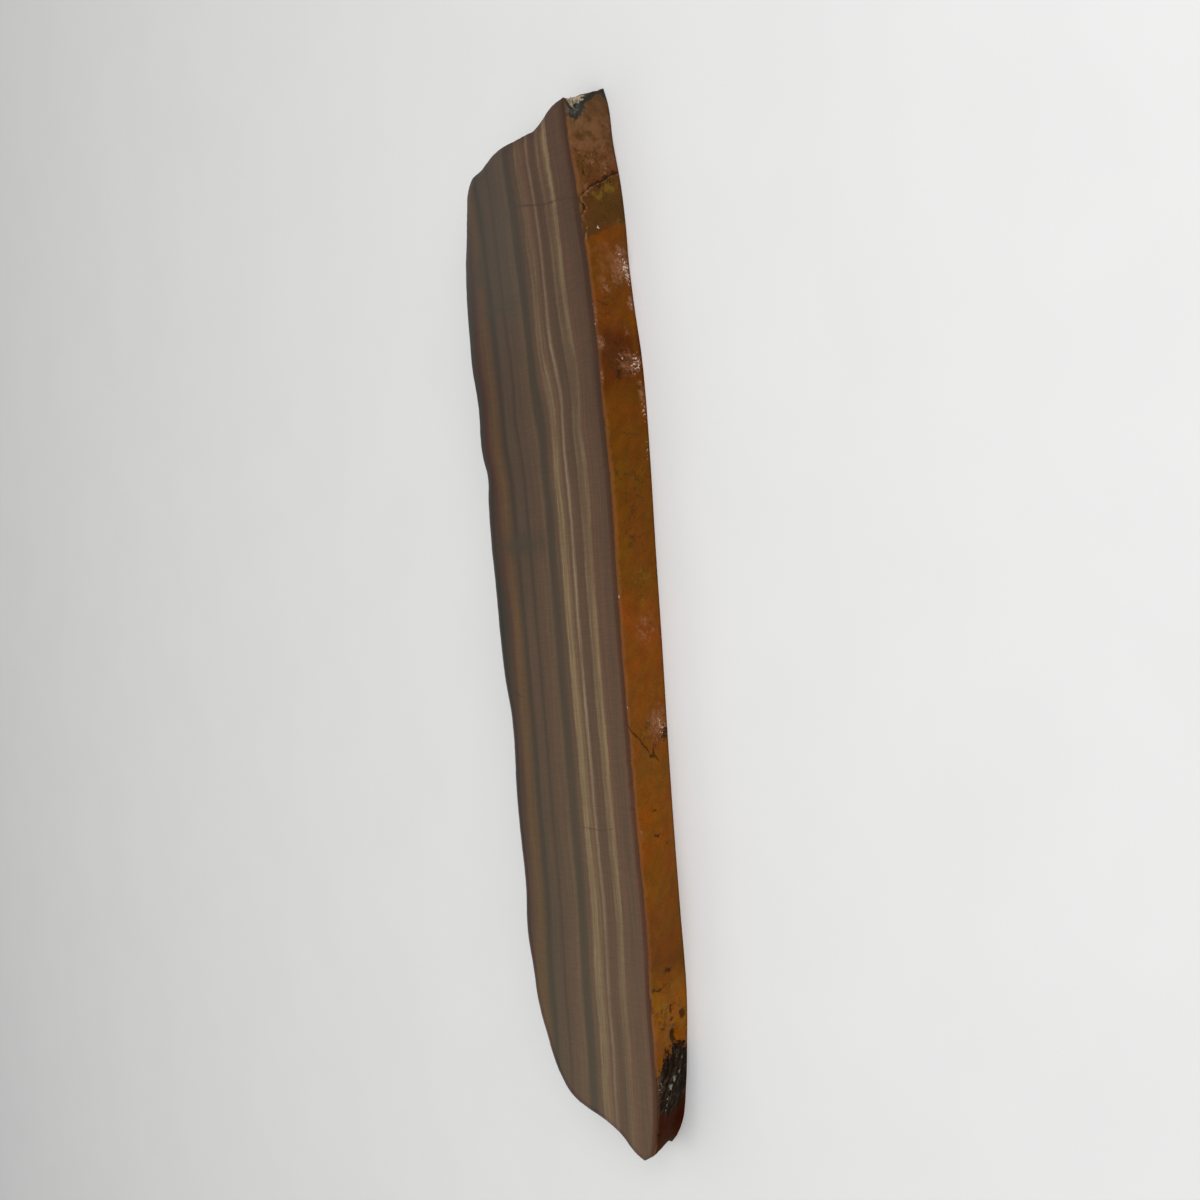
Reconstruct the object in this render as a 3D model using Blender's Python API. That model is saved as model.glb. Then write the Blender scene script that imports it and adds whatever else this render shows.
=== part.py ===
"""Rough slab of tiger's eye: one flat stone with a polished face, a sawn back and a natural rim.

The slab lies on its sawn back. +Z is the way the polished face looks, +Y runs along the length and
+X is the side of the waxy orange rim. Drawing sizes are in millimetres, and MM turns them into metres.
"""

import bpy
import numpy as np

MM = 0.001
THICKNESS = 14.5

# How finely the stone is faceted.
ROWS = 176  # steps from the top tip to the bottom tip, down each side
RIM_STEPS = 8  # steps from the back edge up to the face edge
FACE_STEPS = 2  # strips across the flat face and the flat back

# The outline, from the top tip to the bottom tip: face x, face y, back x, back y.
RIGHT_SIDE = (
    (25.0, 143.6, 25.5, 148.0),
    (25.2, 139.8, 26.9, 143.2),
    (25.6, 131.8, 27.6, 132.7),
    (27.1, 120.4, 29.3, 120.2),
    (27.9, 109.3, 29.9, 109.2),
    (29.2, 98.2, 29.8, 98.2),
    (29.8, 87.2, 30.4, 87.2),
    (30.2, 71.2, 31.7, 72.2),
    (30.2, 60.2, 31.9, 62.2),
    (30.6, 41.2, 31.4, 43.2),
    (29.8, 16.2, 30.3, 17.2),
    (29.1, -9.8, 29.4, -8.8),
    (28.9, -36.8, 28.2, -36.8),
    (28.7, -58.8, 27.5, -58.8),
    (29.0, -80.8, 27.1, -80.8),
    (27.8, -102.8, 26.7, -103.8),
    (27.5, -118.8, 25.0, -117.8),
    (26.7, -131.8, 22.8, -130.8),
    (25.4, -139.1, 20.6, -139.7),
    (23.2, -145.8, 17.0, -145.7),
    (19.2, -148.3, 14.5, -148.2),
)
LEFT_SIDE = (
    (25.0, 143.6, 25.5, 148.0),
    (19.4, 142.8, 18.5, 145.7),
    (14.8, 140.6, 12.5, 142.2),
    (12.0, 139.4, 9.5, 140.4),
    (4.0, 138.9, 2.0, 139.7),
    (-5.8, 138.8, -7.5, 138.7),
    (-10.6, 137.9, -12.5, 137.0),
    (-16.5, 135.6, -18.5, 134.2),
    (-22.3, 134.0, -24.0, 132.2),
    (-25.0, 130.5, -27.0, 128.2),
    (-25.9, 126.7, -28.2, 123.2),
    (-27.3, 119.2, -29.5, 116.2),
    (-29.1, 110.6, -30.6, 108.2),
    (-30.3, 101.2, -31.0, 99.2),
    (-30.7, 87.2, -29.8, 87.2),
    (-30.7, 78.7, -29.6, 78.2),
    (-29.4, 70.2, -30.2, 69.2),
    (-29.2, 65.2, -31.0, 63.2),
    (-29.6, 56.2, -31.6, 55.2),
    (-29.0, 51.6, -31.2, 50.2),
    (-27.6, 46.9, -29.4, 45.7),
    (-28.4, 38.2, -28.8, 38.2),
    (-28.8, 29.2, -29.4, 29.2),
    (-28.5, 13.2, -30.4, 13.2),
    (-28.4, -1.8, -31.0, -2.8),
    (-27.6, -15.8, -30.0, -16.8),
    (-26.1, -25.8, -28.0, -26.8),
    (-26.2, -36.8, -27.4, -37.8),
    (-26.9, -44.8, -28.0, -45.8),
    (-27.0, -64.8, -28.6, -64.8),
    (-26.6, -75.8, -29.2, -76.8),
    (-27.9, -90.8, -29.6, -90.8),
    (-26.6, -101.8, -28.0, -102.8),
    (-25.5, -111.3, -26.5, -110.8),
    (-22.9, -119.5, -23.5, -120.8),
    (-17.4, -131.5, -18.6, -131.8),
    (-13.4, -135.8, -14.0, -137.3),
    (-9.5, -137.7, -9.5, -139.3),
    (0.0, -140.0, -1.0, -141.3),
    (5.2, -141.3, 4.0, -142.3),
    (10.5, -143.7, 8.0, -144.6),
    (15.5, -147.1, 11.8, -147.1),
    (19.2, -148.3, 14.5, -148.2),
)

# Forms of the orange rim: middle y, middle z, half length, half height, rise.
RIM_FORMS = (
    (99.0, 5.5, 13.0, 8.0, 0.75),  # waxy swelling
    (74.5, 5.5, 6.5, 6.0, -0.85),  # dark pitted hollow
    (30.0, 9.0, 24.0, 9.0, 0.35),
    (-33.0, 2.5, 7.5, 4.5, -0.55),  # granular patch at the back edge
    (-60.0, 6.0, 16.0, 8.0, 0.45),
    (-101.0, 8.0, 8.0, 7.0, 0.5),  # golden crust
    (-114.5, 5.2, 2.6, 2.2, -1.5),  # cavity above the iron ore
    (-124.5, 7.5, 7.5, 6.0, 0.9),  # knobbly iron ore
    (-141.0, 2.5, 5.5, 6.0, -1.1),  # broken lower corner
)
# The slanting ledge across the orange rim: y at each z, and how far the upper side stands proud.
LEDGE_Z = (0.0, 3.4, 5.5, 8.5, 11.2, 14.5)
LEDGE_Y = (123.9, 122.0, 121.0, 119.7, 117.9, 115.0)
LEDGE_RISE = 0.6
LEDGE_WIDTH = 1.2
# Knobs of iron ore: their spacing, rise and the place of their patch.
ORE_PLACE = (-124.5, 7.0)
ORE_REACH = (9.5, 7.0)
ORE_KNOB = 3.4
ORE_RISE = 0.7
# The chip out of the top corner on the orange side: centre, reach and depth.
CHIP_CENTRE = (26.0, 145.5, 9.5)
CHIP_REACH = 6.5
CHIP_DEPTH = 1.6

# Lumps of the natural stone: size of a lump, rise on the left side and ends, rise on the orange rim.
LUMPS = (
    (26.0, 0.9, 0.30),
    (11.0, 0.7, 0.22),
    (5.0, 0.35, 0.10),
)
SHELF_STEP = 1.1  # depth of the long shelf along the left side
RIB_SIZE = 5.5  # width of the ribs that the layers make on the broken ends
RIB_RISE = 0.9
EDGE_KEEP = 2.2  # the relief dies away over this distance from the face and back edges

STONE_COLOUR = (0.20, 0.09, 0.03, 1.0)


def clear_scene():
    for item in list(bpy.data.objects):
        bpy.data.objects.remove(item, do_unlink=True)


def smoothstep(low, high, value):
    """0 below low, 1 above high, and an even S between them."""
    share = np.clip((value - low) / (high - low), 0.0, 1.0)
    return share * share * (3.0 - 2.0 * share)


def chance(cell, seed):
    """A fixed number from -1 to 1 for each whole-numbered cell."""
    mixed = cell[..., 0] * 73856093 ^ cell[..., 1] * 19349663 ^ cell[..., 2] * 83492791
    mixed = (mixed ^ seed * 2654435761) & 0xFFFFFFFF
    mixed = (mixed ^ mixed >> 15) * 2246822519 & 0xFFFFFFFF
    mixed = (mixed ^ mixed >> 13) * 3266489917 & 0xFFFFFFFF
    return (mixed >> 16 & 0xFFFF) / 32767.5 - 1.0


def lumps(place, size, seed):
    """Smooth noise: the chances at the eight corners of a cell, blended by S-curves along each axis."""
    spot = place / size
    cell = np.floor(spot).astype(np.int64)
    part = spot - cell
    part = part**3 * (part * (part * 6.0 - 15.0) + 10.0)
    total = np.zeros(place.shape[:-1])
    for dx in (0, 1):
        for dy in (0, 1):
            for dz in (0, 1):
                side = np.array((dx, dy, dz))
                share = np.prod(np.where(side == 1, part, 1.0 - part), axis=-1)
                total += share * chance(cell + side, seed)
    return total


def even_rows(points, count):
    """count + 1 rows at even steps along the smooth curve through the points (Catmull-Rom)."""
    points = np.array(points, dtype=float)
    run = np.concatenate(((0.0,), np.cumsum(np.linalg.norm(np.diff(points[:, :2], axis=0), axis=1))))
    slope = np.gradient(points, run, axis=0)
    fine = np.linspace(0.0, run[-1], 6 * count)
    span = np.clip(np.searchsorted(run, fine, side="right") - 1, 0, len(run) - 2)
    width = run[span + 1] - run[span]
    t = ((fine - run[span]) / width)[:, None]
    width = width[:, None]
    curve = (
        (2 * t**3 - 3 * t**2 + 1) * points[span]
        + (t**3 - 2 * t**2 + t) * width * slope[span]
        + (3 * t**2 - 2 * t**3) * points[span + 1]
        + (t**3 - t**2) * width * slope[span + 1]
    )
    length = np.concatenate(((0.0,), np.cumsum(np.linalg.norm(np.diff(curve[:, :2], axis=0), axis=1))))
    steps = np.linspace(0.0, length[-1], count + 1)
    return np.stack([np.interp(steps, length, curve[:, k]) for k in range(4)], axis=1)


def outline_loop():
    """The closed outline: down the right side and back up the left one, as face and back points."""
    right = even_rows(RIGHT_SIDE, ROWS)
    left = even_rows(LEFT_SIDE, ROWS)
    loop = np.concatenate((right, left[-2:0:-1]))
    return loop[:, :2], loop[:, 2:]


def outward(face, back):
    """Unit vectors pointing out of the outline, square to it in the XY plane."""
    middle = (face + back) / 2.0
    along = np.roll(middle, -1, axis=0) - np.roll(middle, 1, axis=0)
    out = np.stack((-along[:, 1], along[:, 0]), axis=1)
    return out / np.linalg.norm(out, axis=1, keepdims=True)


def ore_knobs(place):
    """Rounded knobs: in each cell a dome that falls with the distance from the cell's own centre."""
    spot = place / ORE_KNOB
    cell = np.floor(spot).astype(np.int64)
    nearest = np.full(place.shape[:-1], 9.0)
    for dx in (-1, 0, 1):
        for dy in (-1, 0, 1):
            for dz in (-1, 0, 1):
                other = cell + np.array((dx, dy, dz))
                shift = np.stack([chance(other, seed) for seed in (21, 22, 23)], axis=-1)
                centre = other + 0.5 + 0.35 * shift
                nearest = np.minimum(nearest, np.linalg.norm(spot - centre, axis=-1))
    return 1.0 - np.clip(nearest, 0.0, 1.0) ** 2


def orange_rim_relief(place):
    """Swellings and hollows, the ledge and the iron ore of the orange rim, in millimetres outwards."""
    y, z = place[..., 1], place[..., 2]
    rise = np.zeros(y.shape)
    for middle_y, middle_z, half_y, half_z, height in RIM_FORMS:
        far = ((y - middle_y) / half_y) ** 2 + ((z - middle_z) / half_z) ** 2
        rise += height * np.exp(-1.5 * far)
    above = y - np.interp(z, LEDGE_Z, LEDGE_Y)
    rise += LEDGE_RISE * smoothstep(-LEDGE_WIDTH, LEDGE_WIDTH, above) * np.exp(-np.maximum(above, 0.0) / 9.0)
    far = ((y - ORE_PLACE[0]) / ORE_REACH[0]) ** 2 + ((z - ORE_PLACE[1]) / ORE_REACH[1]) ** 2
    rise += ORE_RISE * smoothstep(1.0, 0.5, far) * (ore_knobs(place) - 0.5)
    return rise


def left_side_relief(place):
    """A long shelf that wanders up and down the left side."""
    y, z = place[..., 1], place[..., 2]
    level = 7.0 + 3.0 * np.sin(y / 21.0) + 1.6 * np.sin(y / 8.3 + 1.0)
    return SHELF_STEP * (smoothstep(-1.4, 1.4, level - z) - 0.5)


def end_relief(place):
    """Ribs where the stone's layers broke off at different heights."""
    rib_place = place * np.array((1.0, 0.12, 0.25))
    return RIB_RISE * lumps(rib_place, RIB_SIZE, 5)


def rim_relief(place, out):
    """How far each rim point stands outwards, by which way its part of the rim looks."""
    orange = smoothstep(0.35, 0.85, out[:, :1])
    left = smoothstep(0.35, 0.85, -out[:, :1])
    end = 1.0 - orange - left
    rise = orange * orange_rim_relief(place) + left * left_side_relief(place) + end * end_relief(place)
    for seed, (size, rough, smooth) in enumerate(LUMPS):
        rise += lumps(place, size, seed + 1) * (smooth * orange + rough * (1.0 - orange))
    edge = np.minimum(place[..., 2], THICKNESS - place[..., 2])
    return rise * smoothstep(0.0, EDGE_KEEP, edge)


def chip_depth(place):
    """The hollow in the orange side at the top corner, deepest at its centre."""
    far = np.linalg.norm(place - np.array(CHIP_CENTRE), axis=-1)
    return CHIP_DEPTH * smoothstep(CHIP_REACH, 0.25 * CHIP_REACH, far)


def rim_points():
    """The rim as a grid: around the outline, and from the back edge up to the face edge."""
    face, back = outline_loop()
    out = outward(face, back)
    share = np.linspace(0.0, 1.0, RIM_STEPS + 1)
    flat = back[:, None] + (face - back)[:, None] * share[None, :, None]
    height = np.broadcast_to(THICKNESS * share, flat.shape[:2])
    place = np.concatenate((flat, height[..., None]), axis=2)
    rise = rim_relief(place, out)
    chip = chip_depth(place) * smoothstep(0.0, EDGE_KEEP, THICKNESS - place[..., 2])
    place[..., :2] += rise[..., None] * out[:, None]
    place[..., 0] -= chip
    return place


def slab_mesh(rim):
    """One closed skin: the rim, and the flat face and back drawn across from side to side."""
    around, levels = rim.shape[:2]
    verts = [tuple(point) for point in rim.reshape(-1, 3)]
    faces = []

    def rim_vert(index, level):
        return (index % around) * levels + level

    for index in range(around):
        for level in range(RIM_STEPS):
            faces.append(
                (
                    rim_vert(index, level),
                    rim_vert(index, level + 1),
                    rim_vert(index + 1, level + 1),
                    rim_vert(index + 1, level),
                )
            )

    for level, looks_up in ((RIM_STEPS, True), (0, False)):
        strips = []
        for row in range(ROWS + 1):
            right = rim_vert(row, level)
            left = rim_vert(around - row, level)
            if right == left:
                strips.append([right] * (FACE_STEPS + 1))
                continue
            strip = [right]
            for step in range(1, FACE_STEPS):
                share = step / FACE_STEPS
                start = rim.reshape(-1, 3)[right]
                end = rim.reshape(-1, 3)[left]
                strip.append(len(verts))
                verts.append(tuple(start + (end - start) * share))
            strip.append(left)
            strips.append(strip)
        for row in range(ROWS):
            for step in range(FACE_STEPS):
                corners = [
                    strips[row][step],
                    strips[row][step + 1],
                    strips[row + 1][step + 1],
                    strips[row + 1][step],
                ]
                corners = list(dict.fromkeys(corners))
                faces.append(tuple(corners if looks_up else reversed(corners)))
    return verts, faces


def centred(verts):
    """Moves the drawing so that the middle of its box stands over the origin, and turns it into metres."""
    verts = np.array(verts)
    middle = (verts[:, :2].max(axis=0) + verts[:, :2].min(axis=0)) / 2.0
    verts[:, :2] -= middle
    return (verts * MM).tolist()


def stone_material():
    material = bpy.data.materials.new("tigers_eye")
    material.use_nodes = True
    shader = material.node_tree.nodes["Principled BSDF"]
    shader.inputs["Base Color"].default_value = STONE_COLOUR
    shader.inputs["Roughness"].default_value = 0.35
    shader.inputs["Metallic"].default_value = 0.0
    return material


def make_slab():
    verts, faces = slab_mesh(rim_points())
    mesh = bpy.data.meshes.new("slab")
    mesh.from_pydata(centred(verts), [], faces)
    mesh.validate()
    mesh.update()
    mesh.materials.append(stone_material())
    slab = bpy.data.objects.new("slab", mesh)
    bpy.context.scene.collection.objects.link(slab)
    return slab


clear_scene()
make_slab()
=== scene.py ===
"""Rough slab of tiger's eye: a polished face full of fibre bands, a waxy orange rim and a sawn back.

The slab lies on its sawn back. +Z is the way the polished face looks, +Y runs along the length and
+X is the side of the orange rim. Drawing sizes are in millimetres, and MM turns them into metres.
"""

import bpy
import numpy as np
from mathutils import Matrix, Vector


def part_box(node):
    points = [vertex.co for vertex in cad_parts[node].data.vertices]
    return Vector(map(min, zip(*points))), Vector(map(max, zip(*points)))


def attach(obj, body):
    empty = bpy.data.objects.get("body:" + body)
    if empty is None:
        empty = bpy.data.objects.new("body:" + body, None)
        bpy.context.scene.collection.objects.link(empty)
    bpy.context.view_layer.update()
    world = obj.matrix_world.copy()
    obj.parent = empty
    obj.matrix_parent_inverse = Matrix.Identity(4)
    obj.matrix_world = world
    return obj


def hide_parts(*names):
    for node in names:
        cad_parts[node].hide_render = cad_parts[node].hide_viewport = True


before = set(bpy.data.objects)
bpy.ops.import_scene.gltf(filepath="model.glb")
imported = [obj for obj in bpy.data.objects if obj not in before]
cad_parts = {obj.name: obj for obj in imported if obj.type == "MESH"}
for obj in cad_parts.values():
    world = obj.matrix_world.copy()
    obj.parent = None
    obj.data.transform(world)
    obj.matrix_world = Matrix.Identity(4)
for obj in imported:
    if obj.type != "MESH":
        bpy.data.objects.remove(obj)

bl_info = {
    "name": "Rough Tigers Eye Slab",
    "version": (1, 0, 0),
    "blender": (4, 5, 0),
    "location": "3D View > Sidebar > Tigers Eye",
    "description": "Builds a rough slab of tiger's eye with its bands, natural rim and sawn back",
    "category": "Add Mesh",
}

MM = 0.001  # metres
THICKNESS = 14.5  # from the sawn back up to the polished face

# How finely the stone is drawn.
ROWS = 640  # steps from the top tip to the bottom tip, down each side
RIM_STEPS = 36  # steps from the back edge up to the face edge
FACE_COLUMNS = 56  # steps across the face
BACK_COLUMNS = 18  # steps across the back
LID_CROWD, LID_EVEN = 0.85, 0.15  # shares of crowded and of even steps across the face and the back
OUTWARD_REACH = ROWS // 176  # rows to each side that give the outline's direction
CURVE_STEPS = 6  # fine steps for each row when a side is divided evenly
AT_ONCE = 1500  # points whose edge distance is worked out together
FAR = 9.0  # millimetres from a line that count as nowhere near it
ENDLESS = 1e9  # farther than any real distance

# The outline, from the top tip to the bottom tip: face x, face y, back x, back y.
RIGHT_SIDE = (
    (25.0, 143.6, 25.5, 148.0),
    (25.2, 139.8, 26.9, 143.2),
    (25.6, 131.8, 27.6, 132.7),
    (27.1, 120.4, 29.3, 120.2),
    (27.9, 109.3, 29.9, 109.2),
    (29.2, 98.2, 29.8, 98.2),
    (29.8, 87.2, 30.4, 87.2),
    (30.2, 71.2, 31.7, 72.2),
    (30.2, 60.2, 31.9, 62.2),
    (30.6, 41.2, 31.4, 43.2),
    (29.8, 16.2, 30.3, 17.2),
    (29.1, -9.8, 29.4, -8.8),
    (28.9, -36.8, 28.2, -36.8),
    (28.7, -58.8, 27.5, -58.8),
    (29.0, -80.8, 27.1, -80.8),
    (27.8, -102.8, 26.7, -103.8),
    (27.5, -118.8, 25.0, -117.8),
    (26.7, -131.8, 22.8, -130.8),
    (25.4, -139.1, 20.6, -139.7),
    (23.2, -145.8, 17.0, -145.7),
    (19.2, -148.3, 14.5, -148.2),
)
LEFT_SIDE = (
    (25.0, 143.6, 25.5, 148.0),
    (19.4, 142.8, 18.5, 145.7),
    (14.8, 140.6, 12.5, 142.2),
    (12.0, 139.4, 9.5, 140.4),
    (4.0, 138.9, 2.0, 139.7),
    (-5.8, 138.8, -7.5, 138.7),
    (-10.6, 137.9, -12.5, 137.0),
    (-16.5, 135.6, -18.5, 134.2),
    (-22.3, 134.0, -24.0, 132.2),
    (-25.0, 130.5, -27.0, 128.2),
    (-25.9, 126.7, -28.2, 123.2),
    (-27.3, 119.2, -29.5, 116.2),
    (-29.1, 110.6, -30.6, 108.2),
    (-30.3, 101.2, -31.0, 99.2),
    (-30.7, 87.2, -29.8, 87.2),
    (-30.7, 78.7, -29.6, 78.2),
    (-29.4, 70.2, -30.2, 69.2),
    (-29.2, 65.2, -31.0, 63.2),
    (-29.6, 56.2, -31.6, 55.2),
    (-29.0, 51.6, -31.2, 50.2),
    (-27.6, 46.9, -29.4, 45.7),
    (-28.4, 38.2, -28.8, 38.2),
    (-28.8, 29.2, -29.4, 29.2),
    (-28.5, 13.2, -30.4, 13.2),
    (-28.4, -1.8, -31.0, -2.8),
    (-27.6, -15.8, -30.0, -16.8),
    (-26.1, -25.8, -28.0, -26.8),
    (-26.2, -36.8, -27.4, -37.8),
    (-26.9, -44.8, -28.0, -45.8),
    (-27.0, -64.8, -28.6, -64.8),
    (-26.6, -75.8, -29.2, -76.8),
    (-27.9, -90.8, -29.6, -90.8),
    (-26.6, -101.8, -28.0, -102.8),
    (-25.5, -111.3, -26.5, -110.8),
    (-22.9, -119.5, -23.5, -120.8),
    (-17.4, -131.5, -18.6, -131.8),
    (-13.4, -135.8, -14.0, -137.3),
    (-9.5, -137.7, -9.5, -139.3),
    (0.0, -140.0, -1.0, -141.3),
    (5.2, -141.3, 4.0, -142.3),
    (10.5, -143.7, 8.0, -144.6),
    (15.5, -147.1, 11.8, -147.1),
    (19.2, -148.3, 14.5, -148.2),
)

# Forms of the orange rim: middle y, middle z, half length, half height, rise.
RIM_FORMS = (
    (99.0, 5.5, 13.0, 8.0, 0.75),  # waxy swelling
    (74.5, 5.5, 6.5, 6.0, -0.85),  # dark pitted hollow
    (30.0, 9.0, 24.0, 9.0, 0.35),
    (-33.0, 2.5, 7.5, 4.5, -0.55),  # granular patch at the back edge
    (-60.0, 6.0, 16.0, 8.0, 0.45),
    (-101.0, 8.0, 8.0, 7.0, 0.5),  # golden crust
    (-114.5, 5.2, 2.6, 2.2, -1.5),  # cavity above the iron ore
    (-124.5, 7.5, 7.5, 6.0, 0.9),  # knobbly iron ore
    (-141.0, 2.5, 5.5, 6.0, -1.1),  # broken lower corner
)
FORM_FALL = 1.5  # how steeply each form falls away from its middle
# The slanting ledge across the orange rim: y at each z, how far the upper side stands proud, over
# what width it steps up, and over what length the rise fades out again.
LEDGE_Z = (0.0, 3.4, 5.5, 8.5, 11.2, 14.5)
LEDGE_Y = (123.9, 122.0, 121.0, 119.7, 117.9, 115.0)
LEDGE_RISE = 0.6
LEDGE_WIDTH = 1.2
LEDGE_FADE = 9.0
# Knobs of iron ore: the place and reach of their patch as (y, z), their spacing and their rise,
# and the same for the small knobs on them.
ORE_PLACE = (-124.5, 7.0)
ORE_REACH = (9.5, 7.0)
ORE_KNOB = 3.4
ORE_RISE = 0.7
SMALL_KNOB = 1.5
SMALL_KNOB_RISE = 0.16
SMALL_KNOB_LEVEL = 0.4  # the part of a small knob's dome that lies at the surface
# The chip out of the top corner on the orange side: centre, reach and depth.
CHIP_CENTRE = (26.0, 145.5, 9.5)
CHIP_REACH = 6.5
CHIP_DEPTH = 1.6
CHIP_FLOOR = 0.25  # share of the reach that is evenly deep
# The crystals lie in the chip, just below the slab's slanting top tip. Each pair is a middle and
# how far the random draws spread to both sides of it.
CRYSTAL_EDGE_Y = 148.0  # y of the tip at the back
CRYSTAL_EDGE_SLANT = 4.4  # how much less it is at the face
CRYSTAL_HEIGHT = (8.0, 4.0)
CRYSTAL_DEPTH = (1.7, 0.8)  # below the tip, along y
CRYSTAL_X = (24.2, 0.3)
CRYSTAL_AXIS = ((0.0, 0.25), (0.75, 0.25), (0.0, 0.9))  # along x, y and z
CRYSTAL_LENGTH = (0.55, 0.35)  # share of the longest crystal's length
CRYSTAL_THICK = (0.17, 0.3)  # radius as a share of the length, and what share of itself it spreads by
CRYSTAL_BODY = 0.7  # share of the length that is prism, the rest is points
CRYSTAL_SIDES = 6
CRYSTAL_SEEDS = range(61, 68)

# Lumps of the natural stone: size of a lump, rise on the left side and ends, rise on the orange
# rim, and the seed of its random draws.
LUMPS = (
    (26.0, 0.9, 0.30, 1),
    (11.0, 0.7, 0.22, 2),
    (5.0, 0.35, 0.10, 3),
)
# The finest ones, in the same way.
FINE_LUMPS = (
    (2.4, 0.20, 0.06, 11),
    (1.2, 0.11, 0.03, 12),
)
# The long shelf along the left side: depth, softness, level and waves as (rise, length, shift).
SHELF_STEP = 1.1
SHELF_SOFT = 1.4
SHELF_LEVEL = 7.0
SHELF_WAVES = ((3.0, 21.0, 0.0), (1.6, 8.3, 1.0))
# Ribs that the layers make on the broken ends: width, share of it along x, y and z, rise and seed.
RIB_SIZE = 5.5
RIB_STRETCH = (1.0, 0.12, 0.25)
RIB_RISE = 0.9
RIB_SEED = 5
# Fine forms of the orange rim, as rise, size and seed of their lumps.
QUARTZ_GRAINS = ((0.10, 0.95, 41), (0.08, 1.9, 42))
PIT_LUMPS = (0.6, 1.3, 43)
PIT_DEPTH = 0.30
CRACK_WANDER = (0.35, 1.7, 31)
KNOB_SEEDS = (21, 22, 23)
KNOB_SHIFT = 0.35  # how far the middle of a knob may lie from the middle of its cell
EDGE_KEEP = 2.2  # the relief dies away over this distance from the face and back edges
FINE_KEEP = 0.8  # the finest relief reaches nearer to the edges

# Cracks of the orange rim that cross it: (z, y) points of each line.
RIM_CRACKS = (
    (LEDGE_Z, LEDGE_Y),
    ((3.9, 5.2, 7.1, 7.7, 9.4, 11.3, 13.0, 14.4), (-38.7, -37.2, -36.9, -35.2, -33.6, -31.4, -29.8, -26.9)),
)
# The crooked crack that runs along the face edge: (y, z) points.
EDGE_CRACK = (
    (103.8, 106.0, 108.0, 109.6, 110.8, 112.2, 113.7, 115.0, 116.1),
    (14.1, 13.2, 13.0, 13.9, 13.8, 12.4, 12.6, 13.7, 13.5),
)
CRACK_DEPTH = 0.35
CRACK_WIDTH = 0.35
# How far past its ends each kind of crack dies away, and how near to its line it can open.
RIM_CRACK_FADE, RIM_CRACK_REACH = 1.5, 4.0
EDGE_CRACK_FADE, EDGE_CRACK_REACH = 2.0, 1.5

# Small nicks in the face edge: middle y, middle z, half length, half height, strength.
EDGE_NICKS = (
    (-37.7, 14.3, 0.8, 0.7, 1.0),
    (-44.0, 14.3, 0.7, 0.6, 1.0),
    (-50.7, 14.3, 0.8, 0.6, 1.0),
)
NICK_DEPTH = 0.35
NICK_SIDE = 0.8  # only where the rim looks this far along x

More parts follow.
